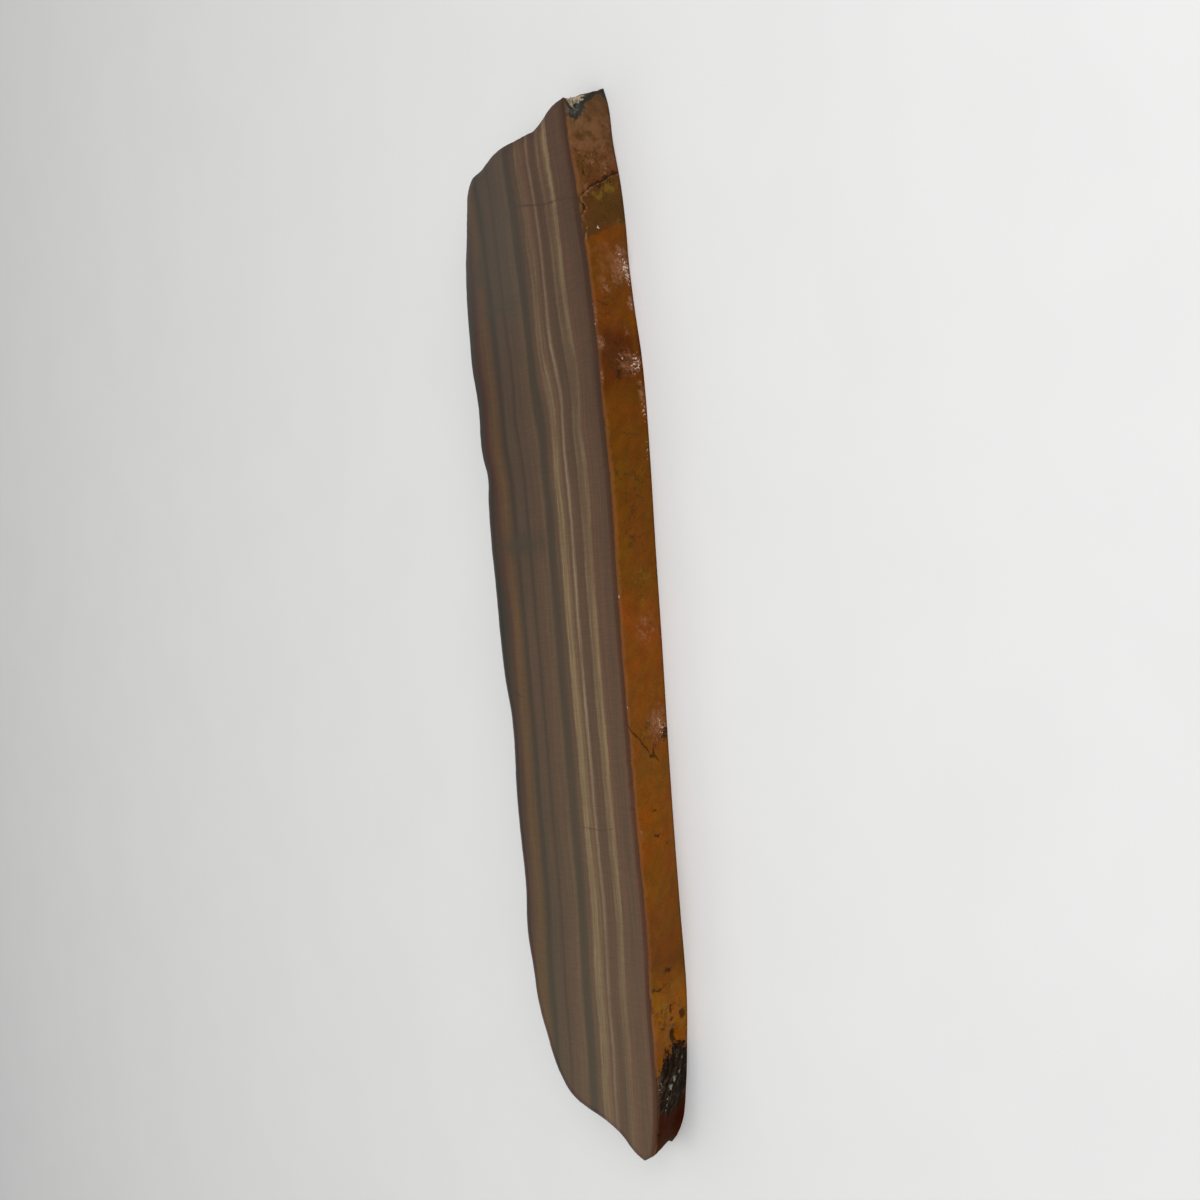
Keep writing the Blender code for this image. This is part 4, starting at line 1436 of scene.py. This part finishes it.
def fibre_bands_group(colours):
    """The bands of the stone: ground bands and bright fibre stripes, with their grain."""
    inputs = (("Place", VECTOR, None), ("Waver", FLOAT, 0.25), ("Fibre", FLOAT, 0.3))
    tree, given, made = new_group("fibre_bands", inputs, "Color", COLOUR)
    place = given["Place"]
    wander = off_middle(tree, noise(tree, place, "band_wander"))
    band = maths(tree, "MULTIPLY_ADD", wander, given["Waver"], painted(tree, "band"))
    band = swayed(tree, band, noise(tree, place, "slow_wander"), SWAYS["slow_wander"])
    along = maths(tree, "DIVIDE", band, BAND_SPAN, clamp=True)

    # Thin layers run with the bands, and fibres stand across them.
    y = add(tree, "ShaderNodeSeparateXYZ", {"Vector": place}).outputs["Y"]
    layer_spot = add(tree, "ShaderNodeCombineXYZ", {"X": band, "Y": times(tree, y, LAYER_RUN)}).outputs[0]
    layers = fitted(tree, noise(tree, layer_spot, "layers"), "layers")
    broad = fitted(tree, noise(tree, layer_spot, "broad_layers"), "broad_layers")
    fibre_lift = swayed(tree, 1.0, noise(tree, place, "fibres"), given["Fibre"])
    lift = times(tree, times(tree, layers, broad), fibre_lift)

    stops = [(at / BAND_SPAN, np.array(getattr(colours, name)) * bright) for _, at, name, bright in BANDS]
    colour = mixed(tree, painted(tree, "cloud"), colour_ramp(tree, along, stops), CLOUD_GREY)
    colour = tinted(tree, colour, times(tree, lift, painted(tree, "tone")))

    patches = fitted(tree, noise(tree, place, "patches"), "patches")
    threads = fitted(tree, noise(tree, layer_spot, "threads"), "threads")
    flicker = times(tree, times(tree, patches, fibre_lift), threads)
    for name, stripe_colour, profile, _ in STRIPES:
        stops = [(at / BAND_SPAN, (share, share, share)) for at, share in profile]
        shine = times(tree, colour_ramp(tree, along, stops), painted(tree, name))
        shine = times(tree, shine, flicker, clamp=True)
        colour = mixed(tree, shine, colour, getattr(colours, stripe_colour))
    feed(tree, made, colour)
    return tree


def ragged_mark_group():
    """A mask with a crinkled edge: the painted strength plus stretched noise, cut off softly."""
    inputs = (
        ("Strength", FLOAT, 0.0),
        ("Place", VECTOR, None),
        ("Size", FLOAT, 1.0),
        ("Ragged", FLOAT, 0.6),
        ("Cut", FLOAT, 0.5),
        ("Soft", FLOAT, 0.12),
    )
    tree, given, made = new_group("ragged_mark", inputs, "Mask", FLOAT)
    values = {0: given["Place"], "Scale": maths(tree, "DIVIDE", 1.0, given["Size"])}
    spot = add(tree, "ShaderNodeVectorMath", values, operation="SCALE").outputs[0]
    grain = add(tree, "ShaderNodeTexNoise", {"Vector": spot, "Scale": 1.0, **CRINKLES}).outputs["Fac"]
    spread = ranged(tree, grain, *RANGES["crinkles"], smooth=False)
    value = maths(tree, "MULTIPLY_ADD", spread, given["Ragged"], given["Strength"])
    low = maths(tree, "SUBTRACT", given["Cut"], given["Soft"])
    high = maths(tree, "ADD", given["Cut"], given["Soft"])
    mask = times(tree, ranged(tree, value, low, high), fitted(tree, given["Strength"], "faint_marks"))
    feed(tree, made, mask)
    return tree


def line_mark_group():
    """A crinkled line where a painted signed distance passes zero, with gaps and a wavering width."""
    inputs = (("Offset", FLOAT, FAR), ("Place", VECTOR, None), ("Width", FLOAT, 0.2), ("Gaps", FLOAT, 0.5))
    tree, given, made = new_group("line_mark", inputs, "Mask", FLOAT)
    waver = noise(tree, given["Place"], "line_waver")
    breaks = fitted(tree, noise(tree, given["Place"], "line_gaps"), "line_gaps")
    width = times(tree, given["Width"], fitted(tree, waver, "line_waver"))
    away = maths(tree, "ABSOLUTE", swayed(tree, given["Offset"], waver, SWAYS["lines"]))
    line = fitted(tree, maths(tree, "DIVIDE", away, width), "line_shape")
    lost = times(tree, maths(tree, "SUBTRACT", 1.0, breaks), given["Gaps"])
    feed(tree, made, times(tree, line, maths(tree, "SUBTRACT", 1.0, lost)))
    return tree


def start_material(name):
    """A new material, its node tree and its place in millimetres."""
    material = bpy.data.materials.new(name)
    material.use_nodes = True
    return material, material.node_tree, place_mm(material.node_tree)


def finish(material, values):
    """Puts colours, masks and plain values on the inputs of the material's shader."""
    tree = material.node_tree
    shader = tree.nodes["Principled BSDF"]
    for key, value in values.items():
        feed(tree, shader.inputs[key], value)
    return material


def polished_face(colours, groups):
    """Glassy polished stone: the bands, darkened along the edge as painted shade, with hairline cracks."""
    material, tree, place = start_material("polished_face")
    bands = use_group(tree, groups["bands"], Place=place, **FACE_BANDS)
    # The face darkens towards its edge as painted shade, wavered by noise.
    edge_noise = noise(tree, place, "painted_edge_shade")
    edge_shade_level = maths(tree, "MULTIPLY_ADD", edge_noise, SWAYS["painted_edge_shade"], painted(tree, "edge"))
    colour = tinted(tree, bands, fitted(tree, edge_shade_level, "painted_edge_shade"))
    crack = use_group(tree, groups["line"], Offset=painted(tree, "hairline"), Place=place, **HAIRLINE)
    colour = coated(tree, colour, colours.crack, crack, "hairline")
    values = {
        # a painted cool reflection is mixed into the base colour over the far upper part of the face
        "Base Color": mixed(tree, painted(tree, "painted_sheen"), colour, PAINTED_SHEEN_COLOUR),
        "Roughness": fitted(tree, noise(tree, place, "smudges"), "smudges"),
        "IOR": QUARTZ_IOR,
        "Specular Tint": FACE_GLOSS,
        "Normal": bump(tree, times(tree, crack, -1.0), *FACE_BUMP),
    }
    return finish(material, values)


def rough_rim(colours, groups):
    """The natural rim: waxy orange on one side, layered at the ends and dark ironstone on the other."""
    material, tree, place = start_material("rough_rim")
    zone_noise = noise(tree, place, "zones")
    zone = swayed(tree, painted(tree, "zone"), zone_noise, SWAYS["zones"])
    zone = ranged(tree, zone, -ZONE_SPAN / 2.0, ZONE_SPAN / 2.0, smooth=False)
    stops = [((at + ZONE_SPAN / 2.0) / ZONE_SPAN, colour) for _, at, colour in RIM_ZONES]
    colour = colour_ramp(tree, zone, stops)

    # Clouds of redder and yellower stone, streaks up the slant and fine specks.
    turned = add(tree, "ShaderNodeMapping", {"Vector": place, "Rotation": CLOUD_TURN}).outputs[0]
    cloud = fitted(tree, noise(tree, turned, "clouds"), "clouds")
    mottle = noise(tree, turned, "mottle")
    speck = fitted(tree, noise(tree, place, "specks"), "specks")
    colour = mixed(tree, cloud, tinted(tree, colour, REDDISH), tinted(tree, colour, YELLOWISH))
    colour = tinted(tree, colour, times(tree, fitted(tree, mottle, "mottle"), speck))

    marks = {}
    for name, (size, ragged, cut, soft) in MARK_EDGES.items():
        values = {"Place": place, "Size": size, "Ragged": ragged, "Cut": cut, "Soft": soft}
        marks[name] = use_group(tree, groups["mark"], Strength=painted(tree, name), **values)
    ore, rock, pale, dark = marks["ore"], marks["rock"], marks["pale"], marks["dark"]

    # Veins and wisps are thin crooked lines where a noise passes its middle.
    lines = (("veins", turned, "vein", colours.crack), ("wisps", place, "wisp", colours.pink_grain))
    for name, spot, patch, line_colour in lines:
        away = maths(tree, "ABSOLUTE", off_middle(tree, noise(tree, spot, name)))
        line = times(tree, fitted(tree, away, name), marks[patch])
        colour = coated(tree, colour, line_colour, line, name)

    # Granular quartz shows as pinkish crumbs with paler ones among them.
    crumbs = noise(tree, place, "crumbs")
    grain = times(tree, marks["pink"], fitted(tree, crumbs, "crumbs"))
    colour = mixed(tree, grain, colour, colours.pink_grain)
    colour = coated(tree, colour, colours.ochre, marks["ochre"], "ochre")

    # The iron ore is streaked, and darker towards its foot.
    height_mm = add(tree, "ShaderNodeSeparateXYZ", {"Vector": place}).outputs["Z"]
    streaks = fitted(tree, noise(tree, turned, "ore_streaks"), "ore_streaks")
    streaks = times(tree, streaks, fitted(tree, height_mm, "ore_foot"))
    colour = mixed(tree, ore, colour, mixed(tree, streaks, colours.iron_ore, ORE_LIGHT))
    # Glints on the ore are painted highlights.
    glinting = times(tree, marks["glint"], ore)
    colour = mixed(tree, glinting, colour, colours.ore_glint)

    # The rock of the chip is lighter and crumbly well inside its border.
    deep = swayed(tree, painted(tree, "rock"), noise(tree, place, "rock_border"), SWAYS["rock_border"])
    inner = fitted(tree, deep, "rock_inside")
    border_rock = np.array(colours.corner_rock) * BORDER_ROCK
    rock_colour = mixed(tree, inner, border_rock, colours.corner_rock)
    inner = times(tree, inner, fitted(tree, crumbs, "rock_crumbs"))
    colour = mixed(tree, rock, colour, mixed(tree, inner, rock_colour, ROCK_LIGHT))
    colour = mixed(tree, marks["cream"], colour, colours.corner_cream)
    # Dark marks darken pits and spots, and paint shade along the ledge, in the cavity and in the nicks.
    dark_colour = mixed(tree, rock, colours.crack, ROCK_DARK)
    colour = coated(tree, colour, dark_colour, dark, "dark")
    # Pale quartz grains, with painted glints among them.
    colour = mixed(tree, pale, colour, colours.pale_grain)

    # Cracks are dark lines, partly painted shadow in their grooves, and the ledge's crack has a painted
    # highlight on the lip above it.
    offset = painted(tree, "crack")
    crack = use_group(tree, groups["line"], Offset=offset, Place=place, **RIM_CRACK)
    lip_offset = maths(tree, "ADD", offset, LIP_OFFSET)
    lip = use_group(tree, groups["line"], Offset=lip_offset, Place=place, **CRACK_LIP)
    lip = times(tree, lip, painted(tree, "lip"))
    colour = coated(tree, colour, colours.pink_grain, lip, "lip")
    colour = coated(tree, colour, colours.crack, crack, "crack")

    # A faint painted highlight lies along the top of the rim, a thin dark line runs under the polished
    # face, and the foot of the rim is darkened as painted shade next to the floor.
    upper = swayed(tree, height_mm, mottle, SWAYS["upper_edge"])
    colour = mixed(tree, fitted(tree, upper, "lit_edge"), colour, colours.pink_grain)
    colour = coated(tree, colour, colours.crack, fitted(tree, upper, "under_face"), "under_face")
    colour = tinted(tree, colour, fitted(tree, height_mm, "rim_foot_shade"))

    # The ends show the layers, and the far side has a skin of ironstone.
    bands = use_group(tree, groups["bands"], Place=place, **END_BANDS)
    skin = mixed(tree, fitted(tree, noise(tree, place, "skin"), "skin"), colours.ironstone, SKIN_LIGHT)
    skin = tinted(tree, skin, fitted(tree, noise(tree, place, "skin_specks"), "skin_specks"))
    skin_patches = fitted(tree, noise(tree, place, "skin_patches"), "skin_patches")
    end_colour = mixed(tree, skin_patches, tinted(tree, bands, END_TINT), skin)
    orange = painted(tree, "orange")
    border = swayed(tree, orange, zone_noise, SWAYS["side_border"])
    colour = mixed(tree, fitted(tree, border, "side_border"), end_colour, colour)
    colour = mixed(tree, fitted(tree, painted(tree, "far_side"), "side_border"), colour, skin)

    broken = painted(tree, "broken")
    rough = fitted(tree, mottle, "rim_roughness")
    masks = {"ore": ore, "pale": pale, "glint": glinting, "dark": dark, "crack": crack, "broken": broken}
    for name, roughness in ROUGHNESSES.items():
        rough = add(tree, "ShaderNodeMix", {0: masks[name], 2: rough, 3: roughness}).outputs[0]
    rough = add(tree, "ShaderNodeMix", {0: orange, 2: END_ROUGHNESS, 3: rough}).outputs[0]

    height = times(tree, noise(tree, place, "fine_grain"), fitted(tree, orange, "grain_height"))
    height = maths(tree, "MULTIPLY_ADD", times(tree, crumbs, marks["pink"]), QUARTZ_HEIGHT, height)
    coarse = maths(tree, "MAXIMUM", ore, broken)
    height = maths(tree, "MULTIPLY_ADD", times(tree, crumbs, coarse), COARSE_HEIGHT, height)
    masks["pits"] = fitted(tree, noise(tree, place, "pits"), "pits")
    for name, operation, share in HEIGHTS:
        height = maths(tree, operation, height, times(tree, masks[name], share))
    values = {
        "Base Color": colour,
        "Roughness": rough,
        "Specular IOR Level": RIM_GLOSS_LEVEL,
        "Specular Tint": RIM_GLOSS,
        "Normal": bump(tree, height, *RIM_BUMP),
    }
    return finish(material, values)


def sawn_back(colours, groups):
    """The sawn back: the same bands under stone dust, with shallow arcs left by the saw."""
    material, tree, place = start_material("sawn_back")
    bands = use_group(tree, groups["bands"], Place=place, **BACK_BANDS)
    dust = noise(tree, place, "dust")
    colour = mixed(tree, fitted(tree, dust, "dust"), tinted(tree, bands, BACK_TINT), colours.sawn_dust)

    # The arcs are noise over the distance from the middle of the saw.
    centred = add(tree, "ShaderNodeMapping", {"Vector": place, "Location": SAW_MIDDLE}).outputs[0]
    flat = add(tree, "ShaderNodeVectorMath", {0: centred, 1: (1.0, 1.0, 0.0)}, operation="MULTIPLY")
    away = add(tree, "ShaderNodeVectorMath", {0: flat.outputs[0]}, operation="LENGTH").outputs["Value"]
    arcs = noise(tree, add(tree, "ShaderNodeCombineXYZ", {"X": away}).outputs[0], "saw_arcs")
    colour = tinted(tree, colour, fitted(tree, arcs, "saw_arcs"))
    values = {
        "Base Color": tinted(tree, colour, fitted(tree, painted(tree, "edge"), "back_edge")),
        "Roughness": fitted(tree, dust, "dust_roughness"),
        "Specular IOR Level": BACK_GLOSS_LEVEL,
        "Normal": bump(tree, arcs, *BACK_BUMP),
    }
    return finish(material, values)


def crystal_quartz(colours):
    """Cream quartz of the small crystals, a little uneven from one to the next."""
    material, tree, place = start_material("crystal_quartz")
    uneven = noise(tree, place, "cream")
    stops = [(at, np.array(colours.corner_cream) * bright) for at, bright in CREAM_STOPS]
    values = {
        "Base Color": colour_ramp(tree, uneven, stops),
        "Roughness": fitted(tree, uneven, "cream_roughness"),
    }
    return finish(material, values)


# ---------------------------------------------------------------------------------------------
# Operators
# ---------------------------------------------------------------------------------------------


class MESH_OT_tigers_eye_slab(bpy.types.Operator):
    """Builds the slab: polished face, natural rim and sawn back as one closed skin"""

    bl_idname = "mesh.tigers_eye_slab"
    bl_label = "Tigers Eye Slab"

    def execute(self, context):
        sizes = context.scene.tigers_eye_sizes
        colours = context.scene.tigers_eye_colours
        drop, width = sizes.polish_drop / MM, sizes.polish_width / MM
        rim, out = rim_points(drop, sizes.fine_relief)
        around, levels = rim.shape[:2]
        rim_flat = rim.reshape(-1, 3)
        face, face_quads, face_tips = lid(rim, RIM_STEPS, FACE_COLUMNS, True, len(rim_flat))
        first = len(rim_flat) + len(face)
        back, back_quads, back_tips = lid(rim, 0, BACK_COLUMNS, False, first)
        face_edge = edge_distance(face[:, :2], rim[:, -1, :2])
        back_edge = edge_distance(back[:, :2], rim[:, 0, :2])
        reach = width / np.interp(face[:, 1], EDGE_SHADE_Y, EDGE_SHADE)
        face[:, 2] = THICKNESS - drop * np.clip(1.0 - face_edge / reach, 0.0, 1.0) ** 2

        index = np.arange(around)[:, None] * levels + np.arange(RIM_STEPS)[None]
        ahead = np.roll(np.arange(around), -1)[:, None] * levels + np.arange(RIM_STEPS)[None]
        rim_quads = np.stack((index, index + 1, ahead + 1, ahead), axis=-1).reshape(-1, 4)

        points = np.concatenate((rim_flat, face, back))
        sheets = (rim_quads, face_quads, face_tips, back_quads, back_tips)
        groups = {
            "bands": fibre_bands_group(colours),
            "mark": ragged_mark_group(),
            "line": line_mark_group(),
        }
        materials = [make(colours, groups) for make in (polished_face, rough_rim, sawn_back)]
        centred = points.copy()
        centred[:, :2] -= box_middle()
        faces = [corners for sheet in sheets for corners in sheet.tolist()]
        piece = new_piece("tigers_eye_slab", centred * MM, faces, materials)
        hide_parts("slab")
        mesh = piece.data
        slots = np.repeat((1, 0, 0, 2, 2), [len(sheet) for sheet in sheets])
        mesh.polygons.foreach_set("material_index", slots.astype(np.int32))
        mesh.polygons.foreach_set("use_smooth", np.ones(len(slots), dtype=bool))
        level = np.full(len(points), -1)
        level[: len(rim_flat)] = np.tile(np.arange(levels), around)
        self.sharpen(mesh, level)
        self.paint_marks(mesh, points, len(rim_flat), out, face_edge, back_edge)
        mesh.update()
        if mesh.validate(verbose=True):
            raise RuntimeError("the slab's mesh had faults")
        return {"FINISHED"}

    def sharpen(self, mesh, level):
        """The face and the back meet the rim at sharp edges: both ends on its first or last level."""
        ends = np.empty(len(mesh.edges) * 2, dtype=np.int32)
        mesh.edges.foreach_get("vertices", ends)
        first, second = level[ends].reshape(-1, 2).T
        sharp = mesh.attributes.new("sharp_edge", "BOOLEAN", "EDGE")
        sharp.data.foreach_set("value", (first == second) & np.isin(first, (0, RIM_STEPS)))

    def paint_marks(self, mesh, points, rim_count, out, face_edge, back_edge):
        """Writes what the materials read: band place, edge distance and the strength of each mark."""
        x, y, z = points.T
        band = band_place(x, y)
        on_rim = np.arange(len(points)) < rim_count
        out_x = np.zeros(len(points))
        out_x[:rim_count] = np.repeat(out[:, 0], RIM_STEPS + 1)
        offset, opening = crack_offsets(points)
        edge = np.zeros(len(points))
        edge[rim_count:] = np.concatenate((face_edge, back_edge))
        broken = smoothstep(*BROKEN_X, x) * smoothstep(*BROKEN_Y, y)
        marks = {
            "band": band,
            "tone": tone(band, y),
            "cloud": strongest(band, y, CLOUDS),
            # strength of the painted cool reflection on the far upper part of the face
            "painted_sheen": PAINTED_SHEEN_STRENGTH * (smoothstep(*PAINTED_SHEEN_Y, y) * smoothstep(*PAINTED_SHEEN_BANDS, band)),
            # distance from the edge, which the face turns into painted shade
            "edge": edge * np.interp(y, EDGE_SHADE_Y, EDGE_SHADE),
            "hairline": hairline(band, y),
            "zone": zone_place(y, z),
            "broken": broken * on_rim,
            "orange": np.maximum(smoothstep(*SIDE_TURN, out_x), broken),
            "far_side": smoothstep(*SIDE_TURN, -out_x),
            "crack": np.where(opening > 0.0, offset, FAR),
            "lip": smoothstep(*LIP_Y, y),
        }
        marks.update((name, np.interp(y, SHINE_Y[::-1], along[::-1])) for name, _, _, along in STRIPES)
        marks.update((name, rim_spots(points, spots) * on_rim) for name, spots in RIM_MARKS.items())
        marks.update((name, inside(points, corners, soft)) for name, corners, soft in PATCHES)
        for name, values in marks.items():
            paint(mesh, name, values)


class MESH_OT_tigers_eye_crystals(bpy.types.Operator):
    """Adds the small quartz crystals that stand in the chipped corner"""

    bl_idname = "mesh.tigers_eye_crystals"
    bl_label = "Corner Crystals"

    def execute(self, context):
        sizes = context.scene.tigers_eye_sizes
        points, faces = crystal_points(sizes.crystal_count, sizes.crystal_length / MM)
        points[:, :2] -= box_middle()
        quartz = crystal_quartz(context.scene.tigers_eye_colours)
        new_piece("corner_crystals", points * MM, faces, (quartz,))
        return {"FINISHED"}


class SCENE_OT_tigers_eye_stage(bpy.types.Operator):
    """Sets the floor, the soft lights and the camera"""

    bl_idname = "scene.tigers_eye_stage"
    bl_label = "Stage"

    def execute(self, context):
        studio = context.scene.tigers_eye_studio
        context.scene.view_settings.view_transform = "Standard"
        self.make_floor(studio)
        self.make_world(context, studio)
        angle = np.radians(CAMERA_ANGLE)
        mirror = angle - np.radians(SOFTBOX_RISE)
        place = SOFTBOX_FAR * np.array((-np.sin(mirror), 0.0, np.cos(mirror)))
        softbox = self.make_light("softbox", place, SOFTBOX_SIZE, studio.softbox_power, SOFTBOX_AIM)
        softbox.data.spread = np.radians(SOFTBOX_SPREAD)
        softbox.data.color = SOFTBOX_COLOUR
        self.make_light("top_light", TOP_LIGHT_PLACE, TOP_LIGHT_SIZE, studio.top_light_power)
        self.make_light("rim_light", RIM_LIGHT_PLACE, RIM_LIGHT_SIZE, studio.rim_light_power)
        self.make_camera(context)
        return {"FINISHED"}

    def make_floor(self, studio):
        """A square of paper that the slab lies on."""
        mesh = bpy.data.meshes.new("floor")
        corners = [(x * FLOOR_HALF, y * FLOOR_HALF, 0.0) for x, y in ((-1, -1), (1, -1), (1, 1), (-1, 1))]
        mesh.from_pydata(corners, [], [(0, 1, 2, 3)])
        material, tree, place = start_material("floor_paper")
        grain = fitted(tree, noise(tree, place, "floor"), "floor")
        values = {
            "Base Color": mixed(tree, grain, np.array(studio.floor) * FLOOR_SHADE, studio.floor),
            "Roughness": FLOOR_ROUGHNESS,
            "Specular IOR Level": FLOOR_GLOSS_LEVEL,
        }
        mesh.materials.append(finish(material, values))
        floor = bpy.data.objects.new("floor", mesh)
        bpy.context.scene.collection.objects.link(floor)

    def make_world(self, context, studio):
        """An even white sky."""
        world = bpy.data.worlds.new("studio_sky")
        world.use_nodes = True
        sky = world.node_tree.nodes["Background"]
        sky.inputs["Color"].default_value = opaque((1.0, 1.0, 1.0))
        sky.inputs["Strength"].default_value = studio.sky_strength
        context.scene.world = world

    def make_light(self, name, place, size, power, aim=(0.0, 0.0, 0.0)):
        """A rectangle of light at a place in metres, turned to look at its aim."""
        back = np.array(place) - np.array(aim)
        back /= np.linalg.norm(back)
        across = np.cross(np.cross(place, (0.0, 1.0, 0.0)), back)
        across /= np.linalg.norm(across)
        data = bpy.data.lights.new(name, "AREA")
        data.shape = "RECTANGLE"
        data.size, data.size_y = size
        data.energy = power
        light = bpy.data.objects.new(name, data)
        light.matrix_world = placed(across, np.cross(back, across), back, place)
        light.visible_camera = False
        bpy.context.scene.collection.objects.link(light)
        return light

    def make_camera(self, context):
        """The camera leans back from the face by its angle, and rolls by the slab's lean."""
        angle, lean = np.radians(CAMERA_ANGLE), np.radians(CAMERA_LEAN)
        back = np.array((np.sin(angle), 0.0, np.cos(angle)))
        level = np.array((np.cos(angle), 0.0, -np.sin(angle)))
        along = np.array((0.0, 1.0, 0.0))
        right = np.cos(lean) * level - np.sin(lean) * along
        up = np.sin(lean) * level + np.cos(lean) * along
        place = np.array(CAMERA_AIM) + CAMERA_SHIFT[0] * right + CAMERA_SHIFT[1] * up + CAMERA_FAR * back
        place[:2] -= box_middle()
        data = bpy.data.cameras.new("camera")
        data.sensor_width = SENSOR_WIDTH
        data.lens = CAMERA_LENS
        data.clip_start = CAMERA_NEAR_END
        camera = bpy.data.objects.new("camera", data)
        camera.matrix_world = placed(right, up, back, place * MM)
        bpy.context.scene.collection.objects.link(camera)
        context.scene.camera = camera


def placed(right, up, back, place):
    """The matrix whose columns are the three directions and the place."""
    matrix = np.eye(4)
    matrix[:3, :3] = np.stack((right, up, back), axis=1)
    matrix[:3, 3] = place
    return Matrix(matrix.tolist())


class VIEW3D_PT_tigers_eye(bpy.types.Panel):
    """Lists the slab's settings and the steps that build it"""

    bl_idname = "VIEW3D_PT_tigers_eye"
    bl_label = "Tigers Eye Slab"
    bl_space_type = "VIEW_3D"
    bl_region_type = "UI"
    bl_category = "Tigers Eye"

    def draw(self, context):
        scene = context.scene
        for settings in (scene.tigers_eye_sizes, scene.tigers_eye_colours, scene.tigers_eye_studio):
            box = self.layout.box()
            for name in settings.__annotations__:
                box.prop(settings, name)
        for step in STEPS:
            self.layout.operator(step.bl_idname)


STEPS = (MESH_OT_tigers_eye_slab, MESH_OT_tigers_eye_crystals, SCENE_OT_tigers_eye_stage)
GROUPS = (TigersEyeSizes, TigersEyeColours, TigersEyeStudio)


def register():
    """Adds the classes, and the settings to the scene."""
    for item in (*GROUPS, *STEPS, VIEW3D_PT_tigers_eye):
        bpy.utils.register_class(item)
    bpy.types.Scene.tigers_eye_sizes = bpy.props.PointerProperty(type=TigersEyeSizes)
    bpy.types.Scene.tigers_eye_colours = bpy.props.PointerProperty(type=TigersEyeColours)
    bpy.types.Scene.tigers_eye_studio = bpy.props.PointerProperty(type=TigersEyeStudio)


def unregister():
    """Takes the settings and the classes away again."""
    del bpy.types.Scene.tigers_eye_studio
    del bpy.types.Scene.tigers_eye_colours
    del bpy.types.Scene.tigers_eye_sizes
    for item in reversed((*GROUPS, *STEPS, VIEW3D_PT_tigers_eye)):
        bpy.utils.unregister_class(item)


def main():
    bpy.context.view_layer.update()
    register()
    bpy.ops.mesh.tigers_eye_slab()
    bpy.ops.mesh.tigers_eye_crystals()
    bpy.ops.scene.tigers_eye_stage()
    bpy.context.view_layer.update()


if __name__ == "__main__":
    main()
